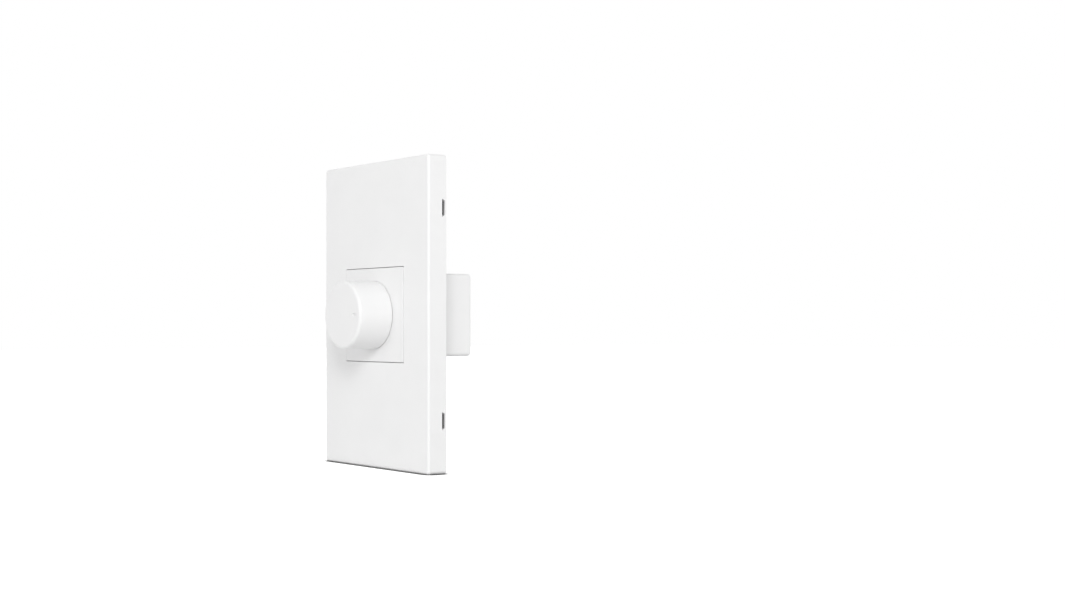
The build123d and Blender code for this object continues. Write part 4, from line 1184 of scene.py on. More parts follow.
@dataclass
class Housing:
    """The module's rear shell: rounded at the back, with screw holes, wire entries, posts and snap ramps."""

    width: float = 38.0
    height: float = 32.3
    levels: Pair = (-6.3, 25.3)
    wall: float = 1.5
    edge: float = 1.4
    post: float = 2.2
    post_front: float = 7.8
    pitch: float = 10.0
    block_front: float = 15.65
    block_top: float = -4.95
    pocket: Pair = (7.5, 8.5)
    pocket_back: float = 22.9
    terminal_z: float = -10.4
    hole_radius: float = 3.0
    hole_chamfer: float = 0.25
    entry: float = 5.6
    entry_y: float = 19.15
    entry_reach: float = 0.2
    snap_half: float = 2.8
    snap_levels: Pair = (-2.5, -4.1)
    snap_reach: float = 0.7
    sink: float = 0.3
    fine_edge: float = 0.12

    def shell(self) -> Shape:
        """Shapes the box with its rounded back and its hollow."""
        front, back = self.levels
        shell = Bench.slab("module_housing_shell", (self.width, self.height), self.levels)
        along, behind = picks(Along.Y), picks(min_y=back)
        Bench.round_edges(shell, self.edge, 8, lambda *edge: along(*edge) or behind(*edge))
        inside = (self.width - 2 * self.wall, self.height - 2 * self.wall)
        hollow = Bench.slab("housing_hollow", inside, (front - 1, back - self.wall))
        return Bench.combine(shell, Cut.REMOVE, hollow)

    def posts(self) -> list[Shape]:
        """Makes the four posts that carry the board."""
        x, z = self.width / 2 - self.wall, self.height / 2 - self.wall
        floor = self.levels[1] - self.wall + self.sink
        made = []
        for side, end in product(SIDES, SIDES):
            corner = (side * (x - self.post), self.post_front, end * (z - self.post))
            opposite = (side * (x + self.sink), floor, end * (z + self.sink))
            made.append(Bench.block("housing_post", corner, opposite))
        return made

    def ramps(self) -> list[Shape]:
        """Makes the two ramps that snap into the skirt's windows."""
        back, front = self.snap_levels
        z, x = self.height / 2, self.snap_half
        corners = [(back, z - self.sink), (back, z + self.snap_reach), (front, z), (front, z - self.sink)]
        outlines = [[(-x, y, side * reach) for y, reach in corners] for side in SIDES]
        return [Bench.prism("housing_ramp", outline, (2 * x, 0, 0)) for outline in outlines]

    def screw_hole(self) -> Shape:
        """Makes the tool that bores a screw hole and breaks its outer edge."""
        profile = Bench.countersunk(self.hole_radius, self.hole_chamfer, self.pocket_back - 1, self.levels[1])
        return Bench.turned("housing_screw_hole", (-self.pitch, 0, self.terminal_z), profile, sides=64)

    def build(self) -> None:
        """Models the housing and hangs it on the fixed body."""
        shell = self.shell()
        x, bottom = self.width / 2 - self.wall + self.sink, -self.height / 2
        low = (-x, self.block_front, bottom + self.wall - self.sink)
        block = Bench.block("housing_block", low, (x, self.levels[1] - self.wall + self.sink, self.block_top))
        Bench.combine(shell, Cut.JOIN, block, *self.posts(), *self.ramps())
        ys = (self.block_front - 1, self.pocket_back)
        pocket = Bench.slab("housing_pockets", self.pocket, ys, (-self.pitch, self.terminal_z))
        half = self.entry / 2
        low = (-self.pitch - half, self.entry_y - half, bottom - 1)
        high = (-self.pitch + half, self.entry_y + half, bottom + self.wall + self.entry_reach)
        tools = (pocket, self.screw_hole(), Bench.block("housing_entries", low, high))
        row = [(self.pitch, 0, 0), (2 * self.pitch, 0, 0)]
        Bench.combine(shell, Cut.REMOVE, *[Bench.copies(tool, row) for tool in tools])
        Piece(shell, "base", ["module_housing"], "housing_plastic", Finishes.HOUSING_PAINTED_LIGHT).install(self.fine_edge)


@dataclass
class MountingFrame:
    """The black tray that is screwed to the wall box: ribs, screw bosses, hooks' windows and four latches."""

    width: float = 69.4
    height: float = 115.4
    front: float = 5.4
    web_back: float = 3.4
    rim: float = 1.6
    corner: float = 1.3
    rib: float = 1.2
    rib_setback: float = 0.6
    rail: Pair = (43.3, 37.6)
    opening: Pair = (40.7, 35.0)
    screw_z: float = 41.75
    boss: Pair = (9.0, 11.8)
    slot: Pair = (4.2, 7.0)
    hook_window: Pair = (2.0, 7.8)
    hook_place: Pair = (29.9, 27.0)
    latch_z: float = 40.0
    latch_length: float = 5.0
    latch_levels: Pair = (0.75, 1.75)
    latch_tip: float = 36.3
    latch_land: float = 0.2
    slit_spacing: float = 6.9
    slit_width: float = 0.7
    sink: float = 0.3
    fine_edge: float = 0.1

    def ribs(self) -> list[Shape]:
        """Makes the ribs behind the web."""
        x, z = self.width / 2 - self.rim + self.sink, self.height / 2 - self.rim + self.sink
        back, front = -self.web_back - self.sink, -self.rib_setback
        rail_x, rail_z, half = self.rail[0] / 2, self.rail[1] / 2, self.rib / 2
        made = []
        for side in SIDES:
            for corner, opposite in (
                ((side * rail_x, back, -z), (side * (rail_x + self.rib), front, z)),
                ((-x, back, side * rail_z), (x, front, side * (rail_z + self.rib))),
                ((-half, back, side * (rail_z + half)), (half, front, side * z)),
            ):
                made.append(Bench.block("frame_rib", corner, opposite))
        return made

    def noses(self) -> list[Shape]:
        """Makes the noses of the four latches."""
        back, front = self.latch_levels
        x, root, tip = self.width / 2, self.width / 2 - self.sink, self.latch_tip
        corners = [(root, -back), (tip, -back), (tip, -back - self.latch_land), (x, -front), (root, -front)]
        made = []
        for side, place in product(SIDES, (-self.latch_z, self.latch_z)):
            outline = [(side * across, y, place - self.latch_length / 2) for across, y in corners]
            made.append(Bench.prism("frame_nose", outline, (0, 0, self.latch_length)))
        return made

    def cuts(self) -> list[Shape]:
        """Makes the tools for the opening, the windows, the screw slots and the latches' slits."""
        ys = (-self.front - 1, 1)
        made = [Bench.slab("frame_opening", self.opening, ys)]
        for side in SIDES:
            made.append(Bench.pill("frame_slot", self.slot, ys, (0, side * self.screw_z)))
            root, tip = side * (self.width / 2 - self.rim), side * (self.width / 2 + 1)
            for end in SIDES:
                place = (side * self.hook_place[0], end * self.hook_place[1])
                made.append(Bench.slab("frame_window", self.hook_window, ys, place))
                for shift in (-self.slit_spacing / 2, self.slit_spacing / 2):
                    low = end * self.latch_z + shift - self.slit_width / 2
                    corner = (root, -self.web_back, low)
                    made.append(Bench.block("frame_slit", corner, (tip, 1, low + self.slit_width)))
        return made

    def build(self) -> None:
        """Models the frame and hangs it on the fixed body."""
        tray = Bench.slab("mounting_frame_tray", (self.width, self.height), (-self.front, 0))
        Bench.round_edges(tray, self.corner, 8, picks(Along.Y))
        inside = (self.width - 2 * self.rim, self.height - 2 * self.rim)
        Bench.combine(tray, Cut.REMOVE, Bench.slab("frame_hollow", inside, (-self.web_back, 1)))
        ys = (-self.web_back - self.sink, 0)
        bosses = [Bench.pill("frame_boss", self.boss, ys, (0, side * self.screw_z)) for side in SIDES]
        Bench.combine(tray, Cut.JOIN, *self.ribs(), *bosses, *self.noses())
        Bench.combine(tray, Cut.REMOVE, *self.cuts())
        Piece(tray, "base", ["mounting_frame"], "frame_plastic", Finishes.FRAME).install(self.fine_edge)


@dataclass
class CheeseScrews:
    """Slotted cheese-head screws with rolled threads, whose heads point into the wall.

    Attributes:
        name: The name of the piece.
        node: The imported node.
        places: The X and Z of each screw.
        head: The head's radius.
        top: The Y of the head's top.
        seat: The Y of the head's underside.
        tip: The Y of the shank's end.
        shank: The thread's outer radius.
        root: The thread's inner radius.
        thread: The pitch of the thread.
        edge: The rounding of the head.
        groove: The width and depth of the driver's slot.
        arc: How far a rounding's middle lies from its corner, as a share of its radius.
        run_in: The first turn's distance from the seat, as a share of the pitch.
        point: How far the tip narrows.
        fine_edge: The width of the finest edges.
    """

    name: str
    node: str
    places: Sequence[Pair]
    head: float
    top: float
    seat: float
    tip: float
    shank: float = 1.5
    root: float = 1.22
    thread: float = 0.5
    edge: float = 0.3
    groove: Pair = (0.8, 0.8)
    arc: float = 0.3
    run_in: float = 0.3
    point: float = 0.2
    fine_edge: float = 0.06

    def profile(self) -> list[Pair]:
        """Works out the half section of the screw."""
        head, top, edge, arc = self.head, self.top, self.edge, self.arc * self.edge
        points = [(0, top), (head - edge, top), (head - arc, top - arc), (head, top - edge)]
        points += [(head, self.seat), (self.root, self.seat)]
        level = self.seat - self.thread * self.run_in
        while level - self.thread > self.tip:
            points += [(self.root, level), (self.shank, level - self.thread / 2)]
            level -= self.thread
        return [*points, (self.root, level), (self.root - self.point, self.tip), (0, self.tip)]

    def build(self) -> None:
        """Models one screw, copies it to its other places and hangs them on the fixed body."""
        (x, z), *others = self.places
        screw = Bench.turned(self.name, (x, 0, z), self.profile(), sides=48)
        wide, deep = self.groove
        ys = (self.top - deep, self.top + 1)
        groove = Bench.slab("screw_groove", (2 * self.head + 2, wide), ys, (x, z))
        Bench.combine(screw, Cut.REMOVE, groove)
        Bench.soften(screw, self.fine_edge, 40)
        Bench.copies(screw, [(there[0] - x, 0, there[1] - z) for there in others])
        Piece(screw, "base", [self.node], "steel", Finishes.ZINC).install()


@dataclass
class HexNut:
    """A hexagon nut with chamfered corners and countersunk thread ends.

    Attributes:
        name: The name of the piece.
        node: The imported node.
        slot: The record's material slot.
        finish: Its finish.
        place: The X and Z of its axis.
        flats: Its width across the flats.
        front: The Y of its front.
        back: The Y of its back.
        bore: The radius of its bore.
        countersink: The width of the bore's chamfers.
        chamfer_angle: How far the corners' chamfers slope, in degrees.
        chamfer_start: How far inside the flats they start.
        beyond: How far the chamfers' cone stands past the corners.
        fine_edge: The width of the finest edges.
    """

    name: str
    node: str
    slot: str
    finish: Finish
    place: Pair
    flats: float
    front: float
    back: float
    bore: float
    countersink: float = 0.25
    chamfer_angle: float = 30.0
    chamfer_start: float = 0.05
    beyond: float = 0.2
    fine_edge: float = 0.05

    def build(self) -> None:
        """Models the nut and hangs it on the fixed body."""
        x, z = self.place
        front, back = self.front, self.back
        corner = self.flats / math.sqrt(3)
        turns = [math.pi * i / 3 for i in range(6)]
        outline = [(x + corner * math.cos(turn), front, z + corner * math.sin(turn)) for turn in turns]
        nut = Bench.prism(self.name, outline, (0, back - front, 0))
        touch, outer = self.flats / 2 - self.chamfer_start, corner + self.beyond
        drop = (outer - touch) * math.tan(math.radians(self.chamfer_angle))
        cones = [(0, front), (touch, front), (outer, front + drop)]
        cones += [(outer, back - drop), (touch, back), (0, back)]
        Bench.combine(nut, Cut.KEEP_COMMON, Bench.turned("nut_chamfers", (x, 0, z), cones, sides=96))
        middle = (front + back) / 2
        ahead, behind = (Bench.countersunk(self.bore, self.countersink, middle, end) for end in (front, back))
        bore = Bench.turned("nut_bore", (x, 0, z), ahead[:1:-1] + behind[2:], sides=96)
        Bench.combine(nut, Cut.REMOVE, bore)
        Piece(nut, "base", [self.node], self.slot, self.finish).install(self.fine_edge, above=40)


@dataclass
class KnobSpring:
    """The bowed leaf spring between the shaft's flat and the knob's hub."""

    front: float = -20.15
    back: float = -12.5
    inner: float = 1.55
    bow: float = 0.35
    thickness: float = 0.3
    width: float = 3.6
    steps: int = 14
    fine_edge: float = 0.05

    def build(self) -> None:
        """Models the spring and hangs it on the turning body."""
        outline = []
        for side in (0, 1):
            for i in range(self.steps + 1):
                share = (i if side == 0 else self.steps - i) / self.steps
                lift = self.bow * (1 - (2 * share - 1) ** 2)
                y = self.back + share * (self.front - self.back)
                outline.append((self.inner + side * self.thickness + lift, y, -self.width / 2))
        leaf = Bench.prism("knob_leaf_spring", outline, (0, 0, self.width))
        Piece(leaf, "rotor", ["knob_spring"], "steel", Finishes.ZINC).install(self.fine_edge, above=40)


@dataclass
class Potentiometer:
    """The potentiometer: bushing, shaft and lock washer in front, can, rotor, wiper and track behind.

    The sizes that end in front or back are Y coordinates.
    """

    fascia_front: float = -8.4
    washer: float = 0.5
    washer_hole: float = 3.6
    washer_ring: float = 4.9
    washer_reach: float = 5.6
    teeth: int = 12
    tooth: Pair = (1.05, 0.32)
    tooth_twist: float = 9.0
    tooth_sink: float = 0.35
    neck_front: float = -11.4
    neck: float = 3.5
    neck_root: float = 3.24
    neck_bore: float = 3.04
    thread: float = 0.5
    thread_start: float = 0.1
    flange_front: float = -6.4
    flange_back: float = -5.4
    lug_place: float = 7.0
    lug: Point = (1.0, 1.2, 2.5)
    lug_sink: float = 0.4
    shaft: float = 3.0
    shaft_front: float = -21.15
    shaft_tip: float = 0.5
    shaft_flat: float = 1.5
    shaft_flat_back: float = -11.7
    collar: float = 3.7
    collar_front: float = -5.35
    track_back: float = -4.6
    tail_half: float = 2.0
    can: float = 8.25
    can_wall: float = 0.4
    can_corner: float = 0.7
    can_back: float = -0.8
    can_opening: float = 3.0
    stop_half: float = 1.43
    stop_inner: float = 6.8
    stop_sink: float = 0.1
    tongue_half: float = 6.2
    tongue_reach: float = 10.6
    tongue_corner: float = 0.6
    play: float = 0.15
    rotor: float = 6.1
    rotor_front: float = -3.9
    rotor_back: float = -1.5
    rotor_lug: float = 7.25
    rotor_lug_angle: float = 17.0
    pin_place: float = -1.7
    pin: float = 0.7
    pin_back: float = 3.4
    pin_sink: float = 0.4
    bore_reach: float = 0.6
    tail_play: float = 0.03
    wiper: Pair = (3.9, 5.95)
    wiper_sheet: float = 0.2
    wiper_pad: Pair = (1.2, 2.4)
    wiper_sink: float = 0.05
    wiper_circle: float = 4.9
    wiper_front: float = -4.5
    track: float = 7.7
    film: float = 0.04
    film_ring: Pair = (4.3, 5.5)
    film_gap: float = 1.6
    terminal_xs: Sequence[float] = (-5.0, 0.0, 5.0)
    terminal: Pair = (1.0, 0.5)
    terminal_bend: float = 0.8
    terminal_top: float = -8.4
    terminal_z: float = -9.6
    terminal_end: float = 8.4
    rivet: float = 0.42
    rivet_head: float = 0.14
    rivet_crown: float = 0.6
    rivet_drop: float = 0.55
    fine_edge: float = 0.06

    def lock_washer(self) -> None:
        """Models the washer with its twisted teeth."""
        back, front = self.fascia_front, self.fascia_front - self.washer
        ring = Bench.ring("toothed_lock_washer", (self.washer_hole, self.washer_ring), (back, front), 72)
        wide, thick = self.tooth
        middle = (back + front) / 2
        low = (self.washer_ring - self.tooth_sink, middle - thick / 2, -wide / 2)
        tooth = Bench.block("washer_tooth", low, (self.washer_reach, middle + thick / 2, wide / 2))
        Bench.swing(tooth, self.tooth_twist, (0, middle, 0), Along.X)
        Bench.combine(ring, Cut.JOIN, Bench.turn_copies(tooth, self.teeth))
        Piece(ring, "base", ["pot_washer"], "steel", Finishes.ZINC).install(edge=0.04, above=25)

    def bushing(self) -> None:
        """Models the front plate with its lug and the threaded neck."""
        front, edge = self.neck_front, self.thread / 2
        profile = [(self.neck_bore, front), (self.neck - edge, front), (self.neck, front + edge)]
        level = front + edge + self.thread_start
        while level + self.thread < self.flange_front:
            profile += [(self.neck_root, level + self.thread / 2), (self.neck, level + self.thread)]
            level += self.thread
        profile += [
            (self.neck_root, self.flange_front),
            (self.can, self.flange_front),
            (self.can, self.flange_back),
            (self.neck_bore, self.flange_back),
        ]
        plate = Bench.turned("threaded_bushing", (0, 0, 0), profile, sides=96)
        deep, long, wide = self.lug
        low = (self.lug_place - deep / 2, self.flange_front - long, -wide / 2)
        high = (self.lug_place + deep / 2, self.flange_front + self.lug_sink, wide / 2)
        Bench.combine(plate, Cut.JOIN, Bench.block("bushing_lug", low, high))
        piece = Piece(plate, "base", ["pot_bushing"], "shaft_metal", Finishes.NICKEL)
        piece.install(self.fine_edge, above=50)

    def turned_shaft(self) -> None:
        """Models the shaft with its flat, its collar and its tail."""
        tip = self.shaft_front
        profile = [
            (0, tip),
            (self.shaft - self.shaft_tip, tip),
            (self.shaft, tip + self.shaft_tip),
            (self.shaft, self.collar_front),
            (self.collar, self.collar_front),
            (self.collar, self.track_back),
            (self.shaft, self.track_back),
            (self.shaft, self.rotor_back),
            (0, self.rotor_back),
        ]
        shaft = Bench.turned("control_shaft", (0, 0, 0), profile, sides=96)
        wide = 2 * self.collar
        start, end = (self.shaft_flat, tip - 1, -wide), (wide, self.shaft_flat_back, wide)
        cuts = [Bench.block("shaft_flat", start, end)]
        for side in SIDES:
            start = (side * self.tail_half, self.rotor_front, -wide)
            cuts.append(Bench.block("shaft_tail", start, (side * wide, 0, wide)))
        Bench.combine(shaft, Cut.REMOVE, *cuts)
        Piece(shaft, "rotor", ["pot_shaft"], "shaft_metal", Finishes.NICKEL).install(self.fine_edge)

    def drawn_can(self) -> None:
        """Models the steel cup with its end-stop tab and the gap for the track's tongue."""
        outer, inner = self.can, self.can - self.can_wall
        floor = self.can_back - self.can_wall
        shell = [(self.can_opening, self.can_back), (outer, self.can_back), (outer, self.flange_back)]
        lining = [(inner, self.flange_back), (inner, floor), (self.can_opening, floor)]
        profile = Bench.rounded(shell, self.can_corner)
        profile += Bench.rounded(lining, self.can_corner - self.can_wall)
        can = Bench.turned("steel_can", (0, 0, 0), profile, sides=96)
        low = (-self.stop_half, self.rotor_front, -self.can + self.can_wall / 2)
        stop = Bench.block("can_stop", low, (self.stop_half, floor + self.stop_sink, -self.stop_inner))
        Bench.combine(can, Cut.JOIN, stop)
        half = self.tongue_half + self.play
        low = (-half, self.flange_back - 1, -2 * self.can)
        gap = Bench.block("can_gap", low, (half, self.track_back + self.play, -self.can / 2))
        Bench.combine(can, Cut.REMOVE, gap)
        Piece(can, "base", ["pot_can"], "steel", Finishes.ZINC).install(self.fine_edge)

    def moulded_rotor(self) -> None:
        """Models the rotor with its stop lug, its slotted bore and the pin that drives the switch."""
        front, back = self.rotor_front, self.rotor_back
        rotor = Bench.ring("stop_rotor", (0, self.rotor), (front, back), 96)
        tip = self.rotor_lug
        turns = [math.radians(self.rotor_lug_angle) * (i / 4 - 1) for i in range(9)]
        outline = [(tip * math.cos(turn), front, tip * math.sin(turn)) for turn in turns]
        half = outline[-1][2]
        outline += [(self.rotor - 1, front, half), (self.rotor - 1, front, -half)]
        lug = Bench.prism("rotor_lug", outline, (0, back - front, 0))
        length = self.pin_back - back + self.pin_sink
        pin = Bench.drum("rotor_pin", self.pin, (self.pin_place, back - self.pin_sink, 0), length, sides=40)
        Bench.combine(rotor, Cut.JOIN, lug, pin)
        length = back - front + self.bore_reach
        bore = Bench.drum("rotor_bore", self.shaft + self.tail_play, (0, front - 1, 0), length)
        half = self.tail_half + self.tail_play
        keep = Bench.block("rotor_bore_flats", (-half, front - 2, -10), (half, 2, 10))
        Bench.combine(rotor, Cut.REMOVE, Bench.combine(bore, Cut.KEEP_COMMON, keep))
        Piece(rotor, "rotor", ["pot_rotor"], "rotor_plastic", Finishes.ACETAL).install(edge=0.1)

    def contact_wiper(self) -> None:
        """Models the springy ring with its two bowed pads."""
        back, front = self.rotor_front, self.rotor_front - self.wiper_sheet
        ring = Bench.ring("wiper_ring", self.wiper, (back, front), 72)
        deep, wide = self.wiper_pad
        outline = []
        for i in range(11):
            share = i / 5 - 1
            lift = (self.wiper_front - front) * (1 - share**2)
            outline.append((self.wiper_circle - deep / 2, front + lift, share * wide / 2))
        x, root = outline[0][0], back - self.wiper_sink
        outline += [(x, root, wide / 2), (x, root, -wide / 2)]
        pad = Bench.turn_copies(Bench.prism("wiper_pad", outline, (deep, 0, 0)), 2)
        Bench.combine(ring, Cut.JOIN, pad)
        Piece(ring, "rotor", ["pot_wiper"], "spring_bronze", Finishes.BRONZE).install(edge=0.03, above=40)

    def printed_track(self) -> None:
        """Models the track's board with its tongue."""
        front, back = self.flange_back, self.track_back
        reach, half = self.track, self.tongue_half
        start = math.atan2(-math.sqrt(reach**2 - half**2), half)
        turns = [start + (math.pi - 2 * start) * i / 96 for i in range(97)]
        outline = [(reach * math.cos(turn), reach * math.sin(turn)) for turn in turns]
        tongue = [outline[-1], (-half, -self.tongue_reach), (half, -self.tongue_reach), outline[0]]
        outline += Bench.rounded(tongue, self.tongue_corner)[1:-1]
        board = Bench.prism("track_disc", [(x, front, z) for x, z in outline], (0, back - front, 0))
        hole = Bench.drum("track_hole", self.wiper[0], (0, front - 1, 0), 3, sides=72)
        Bench.combine(board, Cut.REMOVE, hole)
        Bench.soften(board, self.fine_edge)
        low, high = back - TOUCH, back + self.film
        inner, outer = self.film_ring
        film = Bench.ring("carbon_film_ring", self.film_ring, (low, high), 96)
        start, end = (-self.film_gap, low - 1, -outer - 1), (self.film_gap, high + 1, 1 - inner)
        gap = Bench.block("film_gap", start, end)
        Bench.combine(film, Cut.REMOVE, gap)
        Piece(film, "base", ["pot_track"], "track_board", Finishes.CARBON).install(edge=0)
        Piece(board, "base", ["pot_track"], "track_board", Finishes.TRACK).install()

    def bent_terminals(self) -> None:
        """Models the three riveted terminals with their legs."""
        wide, thick = self.terminal
        x = self.terminal_xs[0] - wide / 2
        near, far = self.track_back, self.track_back + thick
        low, high = self.terminal_z - thick / 2, self.terminal_z + thick / 2
        outline = [
            (x, near, self.terminal_top),
            (x, near, low),
            (x, self.terminal_end, low),
            (x, self.terminal_end, high),
            (x, far, high),
            (x, far, self.terminal_top),
        ]
        strip = Bench.prism("riveted_terminals", outline, (wide, 0, 0))
        Bench.round_edges(strip, thick * self.terminal_bend, 4, picks(Along.X, max_y=near, max_z=low))
        middle = (self.terminal_xs[0], 0, self.terminal_top - self.rivet_drop)
        start, end, rivet, crown = self.flange_back, far, self.rivet, self.rivet * self.rivet_crown
        foot, top = start - self.rivet_head, end + self.rivet_head
        dome = [(0, foot), (crown, foot), (rivet, start), (rivet, end), (crown, top), (0, top)]
        rivet = Bench.turned("terminal_rivet", middle, dome, sides=24)
        Bench.combine(strip, Cut.JOIN, rivet)
        Bench.soften(strip, self.fine_edge)
        Bench.copies(strip, [(there - self.terminal_xs[0], 0, 0) for there in self.terminal_xs[1:]])
        Piece(strip, "base", ["pot_terminals"], "tinned_metal", Finishes.TIN).install()

    def build(self) -> None:
        """Models the pieces from the front to the back."""
        self.lock_washer()
        place = self.fascia_front - self.washer
        sizes = {"flats": 10.0, "front": place - 2.0, "back": place, "bore": 3.52}
        HexNut("clamping_nut", "pot_nut", "shaft_metal", Finishes.NICKEL, (0, 0), **sizes).build()
        self.bushing()
        self.turned_shaft()
        self.drawn_can()
        self.printed_track()
        self.bent_terminals()
        self.contact_wiper()
        self.moulded_rotor()


@dataclass
class RotarySwitch:
    """The switch that the knob throws at the end of its turn: cup, lever, contacts and detent spring."""

    radius: float = 8.25
    wall: float = 0.8
    front: float = -0.8
    back: float = 4.8
    floor: float = 1.0
    edge: float = 0.6
    pivot: Pair = (0.0, 4.4)
    pivot_pin: float = 0.7
    hub: float = 1.3
    play: float = 0.05
    lever_front: float = -0.4
    lever_back: float = 3.4
    arm: Pair = (3.8, 1.0)
    arm_turn: float = 10.0
    arm_step: float = 0.2
    nose: Pair = (1.9, 0.9)
    toe: Pair = (1.65, 0.9)
    toe_turn: float = -75.0
    contact: Pair = (1.6, 0.4)
    contact_place: Pair = (2.8, 0.7)
    blade: Pair = (1.6, 0.5)
    blade_place: Pair = (2.8, 1.25)
    blade_end: float = 8.4
    blade_slot: float = 0.1
    common_place: Pair = (-5.3, 0.4)
    leaf: float = 0.25
    leaf_tail: Pair = (0.9, 1.3)
    leaf_x: float = -2.45
    leaf_bend: float = 0.35
    pin_sink: float = 0.3
    tip_edge: float = 0.3
    contact_edge: float = 0.15
    blade_edge: float = 0.12

    def along_arm(self, name: str, size: Pair, place: Pair, ys: Pair, turn: float = 0.0) -> Shape:
        """Makes a block that lies along the lever's arm.

        Args:
            name: The name of the piece.
            size: Its length along the arm and its width.
            place: Its middle, along the arm and beside it, from the pivot.
            ys: The Y of its two ends.
            turn: How far it is turned from the arm.

        Returns:
            The block.
        """
        x, z = self.pivot
        block = Bench.slab(name, size, ys, (x + place[0], z + place[1]))
        return Bench.swing(block, self.arm_turn + turn, (x, 0, z))

    def cup(self) -> None:
        """Models the moulded cup with the lever's pivot pin and the slots for the blades."""
        inner, floor = self.radius - self.wall, self.back - self.floor
        outside = [(0, self.back), (self.radius, self.back), (self.radius, self.front)]
        profile = Bench.rounded(outside, self.edge) + [(inner, self.front), (inner, floor), (0, floor)]
        cup = Bench.turned("switch_cup", (0, 0, 0), profile, sides=96)
        x, z = self.pivot
        long = floor - self.front + self.pin_sink
        pin = Bench.drum("pivot_pin", self.pivot_pin, (x, self.front, z), long, sides=40)
        Bench.combine(cup, Cut.JOIN, pin)
        grow = 2 * self.blade_slot
        long, thick, ys = self.blade[0] + grow, self.blade[1] + grow, (floor - 1, self.back + 1)
        slot = self.along_arm("blade_slot", (long, thick), self.blade_place, ys)
        common = Bench.slab("common_slot", (thick, long), ys, self.common_place)
        Bench.combine(cup, Cut.REMOVE, slot, common)
        Piece(cup, "base", ["switch_body"], "switch_plastic", Finishes.PHENOLIC).install(edge=0.05)

    def lever(self) -> None:
        """Models the lever: hub, contact arm, detent nose and the toe that the rotor's pin strikes."""
        (x, z), start, long = self.pivot, self.lever_front, self.lever_back - self.lever_front
        lever = Bench.drum("throw_lever", self.hub, (x, start, z), long, sides=64)
        ys = (start + self.arm_step, self.lever_back - self.arm_step)
        arm = self.along_arm("lever_arm", self.arm, (self.arm[0] / 2, 0), ys)
        nose = self.along_arm("lever_nose", self.nose, (-self.nose[0] / 2, 0), ys)
        Bench.round_edges(nose, self.tip_edge, 5, picks(Along.Y, max_x=x - self.hub))
        toe = self.along_arm("lever_toe", self.toe, (self.toe[0] / 2, 0), ys, self.toe_turn - self.arm_turn)
        Bench.round_edges(toe, self.tip_edge, 5, picks(Along.Y, max_z=z - self.hub))
        Bench.combine(lever, Cut.JOIN, arm, nose, toe)
        hole = Bench.drum("lever_hole", self.pivot_pin + self.play, (x, start - 1, z), long + 2, sides=48)
        Bench.combine(lever, Cut.REMOVE, hole)
        Piece(lever, "lever", ["switch_lever"], "rotor_plastic", Finishes.ACETAL).install(edge=0.08)

    def contacts(self) -> None:
        """Models the moving contact, the two blades and the detent spring."""
        ys = (self.lever_front, self.lever_back)
        strip = self.along_arm("moving_contact", self.contact, self.contact_place, ys)
        Bench.round_edges(strip, self.contact_edge, 3, picks(Along.Y))
        Piece(strip, "lever", ["switch_contact"], "spring_bronze", Finishes.BRONZE).install(edge=0.03)
        blade = self.along_arm("switch_blades", self.blade, self.blade_place, (ys[0], self.blade_end))
        common = Bench.slab("common_blade", self.blade[::-1], (ys[0], self.blade_end), self.common_place)
        Bench.unite(blade, [common])
        Bench.round_edges(blade, self.blade_edge, 3, picks(min_y=self.blade_end))
        Piece(blade, "base", ["switch_terminals"], "brass", Finishes.BRASS).install(edge=0.05)
        x, z = self.common_place
        foot, wide = x + (self.blade[1] + self.leaf) / 2, self.blade[0] / 2
        tail_x, tail_z = self.leaf_tail
        line = [(foot, z - wide), (foot, z + wide), (self.leaf_x, self.pivot[1])]
        line.append((self.leaf_x - tail_x, self.pivot[1] + tail_z))
        leaf = Bench.band("detent_leaf", Bench.rounded(line, self.leaf_bend), self.leaf, *ys)
        Piece(leaf, "base", ["switch_spring"], "spring_bronze", Finishes.BRONZE).install(edge=0.04)

    def build(self) -> None:
        """Models the switch's pieces."""
        self.cup()
        self.lever()
        self.contacts()


@dataclass(frozen=True)
class Lead:
    """A lead that goes through the circuit board.

    Attributes:
        x: Its X.
        z: Its Z.
        size: Its width along X and along Z, or its diameter twice where it is round.
        turn: How far it is turned from +X towards +Z, in degrees.
        from_back: Whether it comes from behind the board and is soldered in front.
    """

    x: float
    z: float
    size: Pair = (0.7, 0.7)
    turn: float = 0.0
    from_back: bool = True


